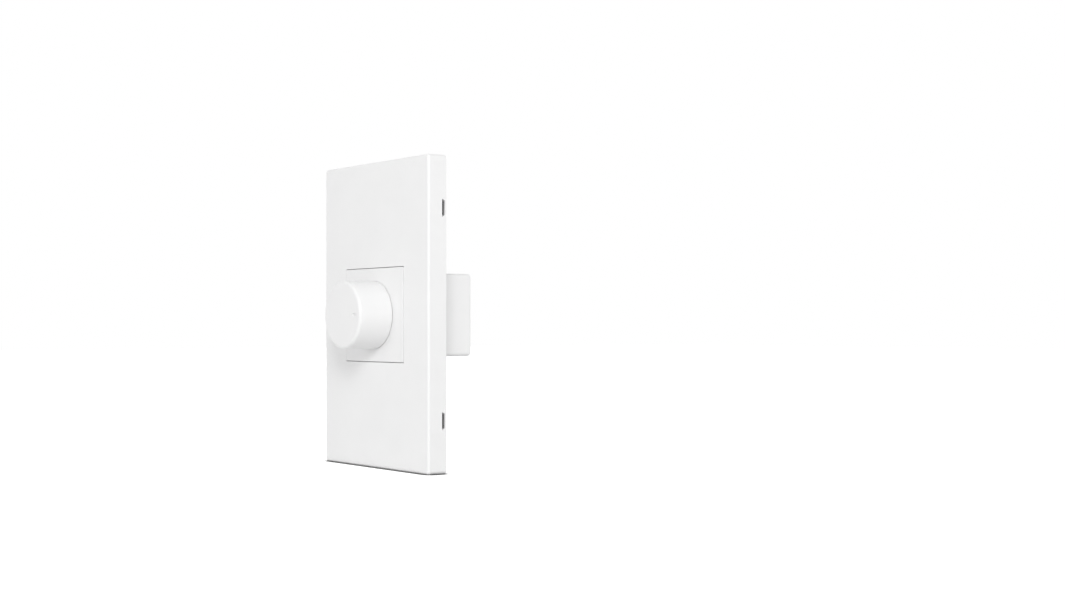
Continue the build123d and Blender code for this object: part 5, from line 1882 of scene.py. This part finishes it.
@dataclass
class Board:
    """The circuit board with its holes and solder joints, and the leads of its small components."""

    width: float = 34.4
    height: float = 28.7
    front: float = 6.2
    back: float = 7.8
    corner: float = 0.4
    slot_play: float = 0.1
    hole: float = 0.5
    joint_height: float = 0.52
    joint_spread: float = 0.62
    joint_foot: float = 1.12
    joint_tip: float = 0.28
    joint_steps: int = 6
    pad: float = 0.05
    pad_hole: float = 0.52
    sink: float = 0.02
    fine_edge: float = 0.08
    leads: Sequence[Lead] = (
        *(Lead(x, -9.6, (1.0, 0.5), from_back=False) for x in (-5.0, 0.0, 5.0)),
        Lead(2.540, 6.117, (1.6, 0.5), 10.0, False),
        Lead(-5.3, 0.4, (0.5, 1.6), from_back=False),
        *(Lead(x, -12.4, (2.0, 0.8)) for x in (-10.0, 0.0, 10.0)),
        *(Lead(x, -3.0, (0.8, 0.5)) for x in (7.36, 9.9, 12.44)),
        *(Lead(1.65, z) for z in (-2.0, 8.0)),
        Lead(-3.824, 4.758),
        Lead(-5.483, 9.315),
        *(Lead(-12.6, z, from_back=False) for z in (-2.5, 2.5)),
        *(Lead(x, z, from_back=False) for x in (10.5, 13.2, 15.9) for z in (-5.1, 5.1)),
    )
    track: Pair = (1.1, 0.035)
    front_tracks: Sequence[Sequence[Pair]] = (
        ((-3.824, 4.758), (-1.5, 7.0), (1.65, 8.0)),
        ((-5.483, 9.315), (-3.0, 11.8), (6.9, 11.8), (8.2, 10.5), (8.2, -1.3), (9.9, -3.0)),
        ((1.65, -2.0), (2.65, -3.0), (7.36, -3.0)),
        ((7.36, -3.0), (7.36, -9.76), (10.0, -12.4)),
        ((10.0, -12.4), (0.0, -12.4)),
        ((-10.0, -12.4), (-10.0, -4.3), (-5.3, 0.4)),
    )
    back_tracks: Sequence[Sequence[Pair]] = (
        ((2.54, 6.117), (1.65, 8.0)),
        ((-5.0, -9.6), (-6.5, -8.1), (-11.1, -4.0), (-12.6, -2.5)),
        ((-12.6, 2.5), (-12.6, 6.2), (-9.5, 9.315), (-5.483, 9.315)),
        ((15.9, 5.1), (10.5, 5.1)),
        ((10.5, -5.1), (12.44, -3.16)),
        ((15.9, -5.1), (15.9, -8.1), (14.4, -9.6), (5.0, -9.6)),
        ((13.2, -5.1), (11.3, -7.0), (1.5, -7.0), (0.0, -8.5), (0.0, -9.6)),
    )

    def tool(self, lead: Lead) -> Shape:
        """Makes the tool that cuts a lead's hole.

        Args:
            lead: The lead.

        Returns:
            The tool.
        """
        deep = self.back - self.front + 2
        if lead.size[0] == lead.size[1]:
            return Bench.drum("board_hole", self.hole, (lead.x, self.front - 1, lead.z), deep, sides=24)
        size = lead.size[0] + 2 * self.slot_play, lead.size[1] + 2 * self.slot_play
        hole = Bench.slab("board_hole", size, (self.front - 1, self.back + 1), (lead.x, lead.z))
        return Bench.swing(hole, lead.turn, (lead.x, 0, lead.z))

    def ring(self, name: str, lead: Lead, profile: Sequence[Pair], in_front: bool) -> Shape:
        """Turns a profile, stretches it round a lead and sets it on a face of the board.

        Args:
            name: The name of the piece.
            lead: The lead.
            profile: Its corners, each a share of the reach from the lead and a height over the face.
            in_front: Whether it is on the front face.

        Returns:
            The piece.
        """
        side, face = (-1, self.front) if in_front else (1, self.back)
        points = [(radius, side * level) for radius, level in profile]
        ring = Bench.turned(name, (0, 0, 0), points, sides=28)
        grow = [self.joint_spread + size / 2 for size in lead.size]
        ring.data.transform(Matrix.Diagonal((grow[0], 1, grow[1], 1)))
        Bench.swing(ring, lead.turn, (0, 0, 0))
        ring.data.transform(Matrix.Translation(Vector((lead.x, face, lead.z)) * MM))
        return ring

    def joint(self, lead: Lead) -> Shape:
        """Makes the solder that rises round a lead where it comes out."""
        low, foot, tip, pad = -self.sink, self.joint_foot, self.joint_tip, self.pad
        profile = [(0, low), (foot, low), (foot, pad), (1.0, pad)]
        for i in range(1, self.joint_steps + 1):
            share = i / self.joint_steps
            profile.append((tip + (1 - tip) * (1 - share) ** 2, pad + (self.joint_height - pad) * share))
        return self.ring("solder_joint", lead, [*profile, (0, self.joint_height)], lead.from_back)

    def far_pad(self, lead: Lead) -> Shape:
        """Makes the flat pad round a lead where it goes in."""
        hole, low, high = self.pad_hole, -self.sink, self.pad
        profile = [(hole, low), (1.0, low), (1.0, high), (hole, high)]
        return self.ring("far_pad", lead, profile, not lead.from_back)

    def laminate(self) -> None:
        """Models the board with every lead's hole."""
        x, z = self.width / 2, self.height / 2
        board = Bench.block("drilled_board", (-x, self.front, -z), (x, self.back, z))
        Bench.round_edges(board, self.corner, 4, picks(Along.Y))
        Bench.combine(board, Cut.REMOVE, *(self.tool(lead) for lead in self.leads))
        Piece(board, "base", ["circuit_board"], "board", Finishes.LAMINATE).install(self.fine_edge)

    def solder(self) -> None:
        """Models the solder joints, each on the face that its lead comes out of, and the pads behind them."""
        first, *others = [shape for lead in self.leads for shape in (self.joint(lead), self.far_pad(lead))]
        joints = Bench.unite(first, others)
        joints.name = joints.data.name = "solder_joints"
        Piece(joints, "base", ["circuit_board"], "tinned_metal", Finishes.TIN).install(edge=0)

    def tracks(self) -> None:
        """Models the tinned tracks on both faces."""
        wide, thick = self.track
        strips = []
        for routes, low in ((self.front_tracks, self.front - thick), (self.back_tracks, self.back - TOUCH)):
            strips += [Bench.band("tinned_tracks", route, wide, low, low + thick + TOUCH) for route in routes]
        tracks = Bench.unite(strips[0], strips[1:])
        Piece(tracks, "base", ["circuit_board"], "tinned_metal", Finishes.TIN).install(edge=0)

    def build(self) -> None:
        """Models the board's metal and the board."""
        self.solder()
        self.tracks()
        self.laminate()


@dataclass
class PowerDevice:
    """The power device on its heat sink."""

    x: float = 9.9
    case_front: float = 8.6
    case_back: float = 11.8
    case_zs: Pair = (-1.4, 7.8)
    width: float = 10.0
    draft: float = 0.17
    dimple: Pair = (0.8, 0.12)
    dimple_inset: float = 2.2
    tab_back: float = 13.1
    tab_top: float = 14.2
    tab_clip: float = 0.9
    hole_z: float = 11.4
    hole: float = 1.8
    lead_pitch: float = 2.54
    lead: Pair = (0.8, 0.5)
    lead_shoulder: float = 1.25
    shoulder_reach: float = 0.7
    shoulder_sink: float = 0.5
    lead_sink: float = 0.6
    lead_bend: float = 0.45
    lead_edge: float = 0.07
    lead_y: float = 10.0
    lead_z: float = -3.0
    lead_end: float = 5.6
    sink_half: float = 5.2
    sheet: float = 1.5
    sink_back: float = 14.6
    sink_bottom: float = -4.0
    fin_end: float = 22.8
    foot: float = 1.5
    foot_end: float = 7.8
    bend: float = 1.0
    channel_bend: float = 0.4
    screw_hole: float = 1.55
    fine_edge: float = 0.1

    def case(self) -> None:
        """Models the moulded case with its draft and its ejector mark."""
        low, high = self.case_zs
        half = self.width / 2
        start, end = (self.x - half, self.case_front, low), (self.x + half, self.case_back, high)
        case = Bench.block("device_case", start, end)
        Bench.pick(case, "faces", picks(Along.Y, max_y=self.case_front))
        share = 1 - self.draft / half
        bpy.ops.transform.resize(value=(share, 1, share))
        Bench.close()
        radius, deep = self.dimple
        start = (self.x - half + self.dimple_inset, self.case_front - 1, high - self.dimple_inset)
        Bench.combine(case, Cut.REMOVE, Bench.drum("case_dimple", radius, start, deep + 1, sides=32))
        Piece(case, "base", ["triac_case"], "epoxy", Finishes.EPOXY).install(edge=0.12)

    def leadframe(self) -> None:
        """Models the tab with its clipped corners and hole, and the three shouldered leads."""
        half, bottom = self.width / 2, self.case_zs[0]
        low = (self.x - half, self.case_back, bottom)
        tab = Bench.block("device_tab", low, (self.x + half, self.tab_back, self.tab_top))
        Bench.pick(tab, "edges", picks(Along.Y, min_z=self.tab_top))
        bpy.ops.mesh.bevel(offset=self.tab_clip * MM, segments=1, affect="EDGES")
        Bench.close()
        hole = Bench.drum("tab_hole", self.hole, (self.x, self.case_back - 1, self.hole_z), 4, sides=56)
        Bench.combine(tab, Cut.REMOVE, hole)
        wide, thick = self.lead
        x = self.x - self.lead_pitch - wide / 2
        near, far = self.lead_y, self.lead_y + thick
        under, over = self.lead_z - thick / 2, self.lead_z + thick / 2
        outline = [
            (x, far, bottom + self.lead_sink),
            (x, far, under),
            (x, self.lead_end, under),
            (x, self.lead_end, over),
            (x, near, over),
            (x, near, bottom + self.lead_sink),
        ]
        lead = Bench.prism("device_lead", outline, (wide, 0, 0))
        Bench.round_edges(lead, self.lead_bend, 4, picks(Along.X, min_y=far, max_z=under))
        middle = x + wide / 2
        low = (middle - self.lead_shoulder / 2, near, bottom - self.shoulder_reach)
        high = (middle + self.lead_shoulder / 2, far, bottom + self.shoulder_sink)
        shoulder = Bench.block("lead_shoulder", low, high)
        Bench.combine(lead, Cut.JOIN, shoulder)
        Bench.copies(lead, [(self.lead_pitch, 0, 0), (2 * self.lead_pitch, 0, 0)])
        Bench.unite(tab, [lead])
        Piece(tab, "base", ["triac_leadframe"], "tinned_metal", Finishes.TIN).install(self.lead_edge)

    def sink(self) -> None:
        """Models the folded channel with its screw hole and its two feet."""
        x, half = self.x, self.sink_half
        low = (x - half, self.tab_back, self.sink_bottom)
        sink = Bench.block("folded_sink", low, (x + half, self.fin_end, self.tab_top))
        Bench.round_edges(sink, self.bend, 6, picks(Along.Z, max_y=self.tab_back))
        inner = half - self.sheet
        low = (x - inner, self.sink_back, self.sink_bottom - 1)
        channel = Bench.block("sink_channel", low, (x + inner, self.fin_end + 1, self.tab_top + 1))
        Bench.round_edges(channel, self.channel_bend, 5, picks(Along.Z, max_y=self.sink_back))
        hole = Bench.drum("sink_hole", self.screw_hole, (x, self.tab_back - 1, self.hole_z), 4, sides=48)
        Bench.combine(sink, Cut.REMOVE, channel, hole)
        feet = []
        for side in SIDES:
            corner = (x + side * half, self.foot_end, self.sink_bottom)
            opposite = (x + side * inner, self.tab_back + self.bend, self.sink_bottom + self.foot)
            feet.append(Bench.block("sink_foot", corner, opposite))
        Bench.combine(sink, Cut.JOIN, *feet)
        Piece(sink, "base", ["heat_sink"], "aluminium", Finishes.ALUMINIUM).install(self.fine_edge)

    def build(self) -> None:
        """Models the device, its heat sink, and the screw and nut that hold them together."""
        self.case()
        self.leadframe()
        self.sink()
        place = (self.x, self.hole_z)
        sizes = {"head": 2.75, "top": self.sink_back + 2.0, "seat": self.sink_back, "tip": 9.4}
        CheeseScrews("sink_screw", "heat_sink_screw", [place], **sizes).build()
        sizes = {"flats": 5.5, "front": 9.4, "back": self.case_back, "bore": 1.4, "countersink": 0.2}
        HexNut("sink_nut", "heat_sink_nut", "steel", Finishes.ZINC, place, **sizes).build()


@dataclass
class Choke:
    """The interference choke: a painted ring core and its winding, wound turn by turn."""

    place: Pair = (-8.6, 5.6)
    inner: float = 3.5
    outer: float = 6.2
    front: float = 9.6
    back: float = 14.6
    core_edge: float = 0.5
    wire: float = 0.44
    play: float = 0.1
    turns: int = 16
    first: float = -10.0
    last: float = -310.0
    corner: float = 0.8
    corner_steps: int = 4
    lead_end: float = 5.6
    lead_bend: float = 0.4

    def core(self) -> None:
        """Models the core with its rounded edges."""
        near, far, front, back = self.inner, self.outer, self.front, self.back
        seam = (near, (front + back) / 2)
        rim = [seam, (near, front), (far, front), (far, back), (near, back), seam]
        rim = Bench.rounded(rim, self.core_edge)[:-1]
        core = Bench.turned("ring_core", (self.place[0], 0, self.place[1]), rim, sides=96)
        Piece(core, "base", ["choke_core"], "ferrite", Finishes.FERRITE).install(edge=0)

    def section(self) -> list[Point]:
        """Works out one turn round the core's section.

        Returns:
            For each point its distance outwards and backwards from the section's middle, and its share of
            the turn.
        """
        off = self.play + self.wire
        wide = (self.outer - self.inner) / 2 + off
        deep = (self.back - self.front) / 2 + off
        points = [(0.0, -deep)]
        for i, (side, end) in enumerate(((1, -1), (1, 1), (-1, 1), (-1, -1))):
            for step in range(self.corner_steps + 1):
                turn = math.pi / 2 * (i - 1 + step / self.corner_steps)
                out = side * (wide - self.corner) + self.corner * math.cos(turn)
                points.append((out, end * (deep - self.corner) + self.corner * math.sin(turn)))
        points.append(points[0])
        lengths = [math.dist(a, b) for a, b in zip(points, points[1:])]
        shares = [sum(lengths[:i]) / sum(lengths) for i in range(len(points))]
        return [(*point, share) for point, share in zip(points, shares)]

    def route(self) -> list[Point]:
        """Works out the wire's middle line, from one lead through all turns to the other lead."""
        ring = (self.inner + self.outer) / 2
        middle = (self.front + self.back) / 2
        points = []
        for turn in range(self.turns):
            for out, behind, share in self.section()[:-1] if turn < self.turns - 1 else self.section():
                angle = math.radians(self.first + (self.last - self.first) * (turn + share) / self.turns)
                reach = ring + out
                x, z = self.place[0] + reach * math.cos(angle), self.place[1] + reach * math.sin(angle)
                points.append((x, middle + behind, z))
        start = (points[0][0], self.lead_end, points[0][2])
        end = (points[-1][0], self.lead_end, points[-1][2])
        head = Bench.bent([start, points[0], points[1]], self.lead_bend, self.corner_steps)
        tail = Bench.bent([points[-2], points[-1], end], self.lead_bend, self.corner_steps)
        return [*head[:-1], *points[1:-1], *tail[1:]]

    def build(self) -> None:
        """Models the core and the winding."""
        self.core()
        winding = Bench.wire("wound_wire", self.route(), self.wire, 3)
        Piece(winding, "base", ["choke_winding"], "copper_wire", Finishes.ENAMEL).install(edge=0)


@dataclass
class BoxCapacitor:
    """A film capacitor in a moulded box with a potted foot.

    Attributes:
        name: The name of the piece.
        node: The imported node.
        low: The box's lowest corner.
        high: Its highest corner.
        foot: The Y of its potted side.
        leads: The Z of each lead.
        lead_end: The Y of the leads' ends.
        corner: The rounding of its long edges.
        rim: The width and depth of the potted recess.
        lead: The leads' radius.
        fine_edge: The width of the finest edges.
    """

    name: str
    node: str
    low: Point
    high: Point
    foot: float
    leads: Pair
    lead_end: float
    corner: float = 0.35
    rim: Pair = (0.45, 0.3)
    lead: float = 0.35
    fine_edge: float = 0.08

    def build(self) -> None:
        """Models the box and its two leads."""
        box = Bench.block(self.name, self.low, self.high)
        Bench.round_edges(box, self.corner, 4, lambda middle, line: abs(middle.y - self.foot) > TOUCH)
        Bench.pick(box, "faces", picks(Along.Y, min_y=self.foot, max_y=self.foot))
        rim, deep = self.rim
        inwards = deep if self.foot == self.low[1] else -deep
        bpy.ops.mesh.inset(thickness=rim * MM)
        Bench.extrude((0, inwards, 0))
        Bench.close()
        Bench.soften(box, self.fine_edge)
        x = (self.low[0] + self.high[0]) / 2
        wires = []
        for z in self.leads:
            route = [(x, self.foot + 2 * inwards, z), (x, self.lead_end, z)]
            wires.append(Bench.wire(f"{self.name}_leads", route, self.lead))
        leads = Bench.unite(wires[0], wires[1:])
        Piece(leads, "base", [self.node], "tinned_metal", Finishes.TIN).install(edge=0)
        Piece(box, "base", [self.node], "film_box", Finishes.FILM_BOX).install()


@dataclass
class AxialPart:
    """Round components that lie on two bent leads each.

    Attributes:
        name: The name of the piece.
        node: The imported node.
        slot: The record's material slot.
        finish: Its finish.
        xs: The X of each component.
        profile: Half of the body's half section, as radius and Z from its end to its middle.
        y: The Y of the body's axis.
        lead_z: The Z of the leads' bends.
        lead_end: The Y of the leads' ends.
        lead: The leads' radius.
        bend: The radius of the leads' bends.
    """

    name: str
    node: str
    slot: str
    finish: Finish
    xs: Sequence[float]
    profile: Sequence[Pair]
    y: float = 4.4
    lead_z: float = 5.1
    lead_end: float = 8.4
    lead: float = 0.35
    bend: float = 0.9

    def build(self) -> None:
        """Models the bodies and their leads."""
        x, *others = self.xs
        shifts = [(there - x, 0, 0) for there in others]
        whole = [*self.profile, *((radius, -z) for radius, z in reversed(self.profile))]
        body = Bench.turned(self.name, (x, self.y, 0), whole, Along.Z, sides=40)
        Bench.copies(body, shifts)
        Bench.soften(body, 0)
        low, high = (x, self.lead_end, -self.lead_z), (x, self.lead_end, self.lead_z)
        route = [low, (x, self.y, -self.lead_z), (x, self.y, self.lead_z), high]
        leads = Bench.wire(f"{self.name}_leads", Bench.bent(route, self.bend), self.lead)
        Bench.copies(leads, shifts)
        Piece(leads, "base", [self.node], "tinned_metal", Finishes.TIN).install(edge=0)
        Piece(body, "base", [self.node], self.slot, self.finish).install()


@dataclass
class WireTerminals:
    """The three brass cages with their wire holes, screw holes and solder legs."""

    xs: Sequence[float] = (-10.0, 0.0, 10.0)
    half_width: float = 3.5
    front: float = 15.65
    back: float = 22.65
    bottom: float = -14.4
    top: float = -6.4
    edge: float = 0.45
    wire_hole: float = 1.6
    wire_y: float = 19.15
    screw_hole: float = 1.55
    screw_z: float = -10.4
    leg: Pair = (2.0, 0.8)
    leg_z: float = -12.4
    leg_end: float = 5.6
    leg_sink: float = 0.5
    leg_taper: float = 0.4
    countersink: float = 0.25
    fine_edge: float = 0.08

    def build(self) -> None:
        """Models one cage, copies it twice and hangs them on the fixed body."""
        x, c = self.xs[0], self.countersink
        low = (x - self.half_width, self.front, self.bottom)
        cage = Bench.block("wire_cages", low, (x + self.half_width, self.back, self.top))
        Bench.round_edges(cage, self.edge, 4, picks(Along.Z))
        leg = Bench.slab("cage_leg", self.leg, (self.leg_end, self.front + self.leg_sink), (x, self.leg_z))
        Bench.push(leg, (self.leg_taper, 0, 0), picks(max_y=self.leg_end, max_x=x))
        Bench.push(leg, (-self.leg_taper, 0, 0), picks(max_y=self.leg_end, min_x=x))
        Bench.combine(cage, Cut.JOIN, leg)
        through = Bench.countersunk(self.wire_hole, c, self.top + 1, self.bottom)[::-1]
        wire = Bench.turned("cage_wire_hole", (x, self.wire_y, 0), through, Along.Z, sides=56)
        down = Bench.countersunk(self.screw_hole, c, self.wire_y, self.back)
        screw = Bench.turned("cage_screw_hole", (x, 0, self.screw_z), down, sides=48)
        Bench.combine(cage, Cut.REMOVE, wire, screw)
        Bench.soften(cage, self.fine_edge)
        Bench.copies(cage, [(there - x, 0, 0) for there in self.xs[1:]])
        Piece(cage, "base", ["terminal_cages"], "brass", Finishes.BRASS).install()


@dataclass
class SmallParts:
    """The screws, the capacitors and the axial components, each made by its own class."""

    terminal_places: Sequence[Pair] = ((-10.0, -10.4), (0.0, -10.4), (10.0, -10.4))
    resistor: Sequence[Pair] = (
        (0, -3.15),
        (0.75, -3.15),
        (1.0, -3.05),
        (1.12, -2.8),
        (1.15, -2.45),
        (1.12, -2.1),
        (1.02, -1.75),
        (0.98, -1.4),
    )
    diode: Sequence[Pair] = ((0, -2.1), (0.6, -2.1), (0.82, -2.0), (0.93, -1.8), (0.95, -1.5))

    def build(self) -> None:
        """Models them all."""
        sizes = {"head": 2.7, "top": 24.7, "seat": 23.1, "tip": 20.95}
        CheeseScrews("terminal_screw_set", "terminal_screws", self.terminal_places, **sizes).build()
        low, high, pins = (-0.85, 8.6, -3.5), (4.15, 18.6, 9.5), {"leads": (-2.0, 8.0), "lead_end": 5.6}
        BoxCapacitor("filter_box", "filter_capacitor", low, high, foot=low[1], **pins).build()
        low, high, pins = (-14.35, 0.2, -3.6), (-10.85, 6.2, 3.6), {"leads": (-2.5, 2.5), "lead_end": 8.4}
        BoxCapacitor("timing_box", "timing_capacitor", low, high, foot=high[1], **pins).build()
        kind = ("resistor_bodies", "resistors", "resistor_coat", Finishes.RESISTOR)
        AxialPart(*kind, xs=(13.2, 15.9), profile=self.resistor).build()
        AxialPart("diac_body", "diac", "diode_body", Finishes.DIODE, xs=(10.5,), profile=self.diode).build()


@dataclass(frozen=True)
class Lamp:
    """A soft square lamp that faces the dimmer.

    Attributes:
        name: Its name.
        place: Its place in metres.
        size: Its side in metres.
        level: The light that it adds to a surface at the origin that faces it: 1 makes white look white.
    """

    name: str
    place: Point
    size: float
    level: float

    def hang(self) -> None:
        """Adds the lamp."""
        data = bpy.data.lights.new(self.name, "AREA")
        data.shape, data.size = "SQUARE", self.size
        data.energy = self.level * (math.pi * Vector(self.place).length) ** 2
        lamp = bpy.data.objects.new(self.name, data)
        bpy.context.scene.collection.objects.link(lamp)
        lamp.location = self.place
        lamp.rotation_mode = "QUATERNION"
        lamp.rotation_quaternion = (-Vector(self.place)).to_track_quat("-Z", "Y")


@dataclass
class Studio:
    """The floor, the lamps and the camera, which aren't part of the dimmer. Lengths are in metres."""

    floor_height: float = -0.060
    floor_size: float = 6.0
    floor_tone: float = 0.84
    floor_glow: float = 0.75
    # Painted contact shadow: the floor's colour where it is darkest, and how far from the plate it reaches.
    painted_contact_shade: float = 0.12
    contact_reach: float = 0.0035
    azimuth: float = 57.0
    distance: float = 0.6006
    aim: Point = (0.0, -0.0082, -0.00471)
    lens: float = 51.67
    shift: Pair = (0.1485, 0.0258)
    sensor: float = 36.0
    clip: Pair = (0.01, 50.0)
    world_light: float = 0.515
    backdrop_light: float = 1.0
    glow_reach: Pair = (0.75, 1.0)
    tone_reach: Pair = (0.5, 0.75)
    lamps: Sequence[Lamp] = (
        Lamp("key_lamp", (0.971, -0.679, 0.536), size=0.35, level=0.375),
        Lamp("front_lamp", (0.0, -1.3, 0.0), size=1.0, level=0.342),
        Lamp("side_lamp", (1.256, 0.336, 0.0), size=1.0, level=0.205),
    )

    def camera(self) -> None:
        """Adds the level camera of the photograph's three-quarter view."""
        data = bpy.data.cameras.new("camera")
        data.lens, data.sensor_width = self.lens, self.sensor
        data.shift_x, data.shift_y = self.shift
        data.clip_start, data.clip_end = self.clip
        camera = bpy.data.objects.new("camera", data)
        bpy.context.scene.collection.objects.link(camera)
        turn = math.radians(self.azimuth)
        back = Vector((math.sin(turn), -math.cos(turn), 0))
        camera.location = Vector(self.aim) + back * self.distance
        camera.rotation_mode = "QUATERNION"
        camera.rotation_quaternion = (-back).to_track_quat("-Z", "Y")
        bpy.context.scene.camera = camera

    def world(self) -> None:
        """Sets an even light all round, with a white backdrop for what looks straight at it."""
        world = bpy.data.worlds.new("studio")
        bpy.context.scene.world = world
        graph = Graph(world)
        graph.tree.nodes.clear()
        mix = graph.add("ShaderNodeMixShader", Fac=graph.rays("Camera", "Transmission", "Glossy"))
        for target, strength in ((mix.inputs[1], self.world_light), (mix.inputs[2], self.backdrop_light)):
            light = graph.add("ShaderNodeBackground", Color=(1, 1, 1, 1), Strength=strength)
            graph.feed(target, light.outputs[0])
        graph.add("ShaderNodeOutputWorld", Surface=mix.outputs[0])

    def floor(self) -> None:
        """Adds the pale floor, which looks white but for a thin painted contact shadow where the plate stands
        on it: near the plate, ambient occlusion darkens its colour and dims its glow.
        """
        bpy.ops.object.select_all(action="DESELECT")
        bpy.ops.mesh.primitive_plane_add(size=self.floor_size, location=(0, 0, self.floor_height))
        floor = Bench.settle("floor")
        material = bpy.data.materials.new("pale_floor")
        graph = Graph(material)
        # Painted contact shadow: ambient occlusion darkens the floor's colour and dims its glow near the plate.
        contact = graph.add("ShaderNodeAmbientOcclusion", Distance=self.contact_reach).outputs["AO"]
        glow = graph.span(contact, 0.0, self.floor_glow, self.glow_reach)
        graph.fill(
            graph.shader,
            Base_Color=graph.span(contact, self.painted_contact_shade, self.floor_tone, self.tone_reach),
            Roughness=0.9,
            Specular_IOR_Level=0.0,
            Emission_Color=(1, 1, 1, 1),
            Emission_Strength=graph.work("MULTIPLY", graph.rays("Camera", "Glossy"), glow),
        )
        floor.data.materials.append(material)

    def build(self) -> None:
        """Sets up the studio."""
        self.floor()
        self.world()
        for lamp in self.lamps:
            lamp.hang()
        self.camera()
        bpy.context.scene.view_settings.view_transform = "Standard"


def main() -> None:
    """Builds the pieces in order, then the studio."""
    logging.basicConfig(level=logging.INFO, format="%(name)s: %(message)s")
    outside = (CoverPlate, MountingFrame, Fascia, Housing, Knob, KnobSpring)
    inside = (Potentiometer, RotarySwitch, Board, PowerDevice, Choke, WireTerminals, SmallParts)
    for part in (*outside, *inside, Studio):
        part().build()


if __name__ == "__main__":
    main()
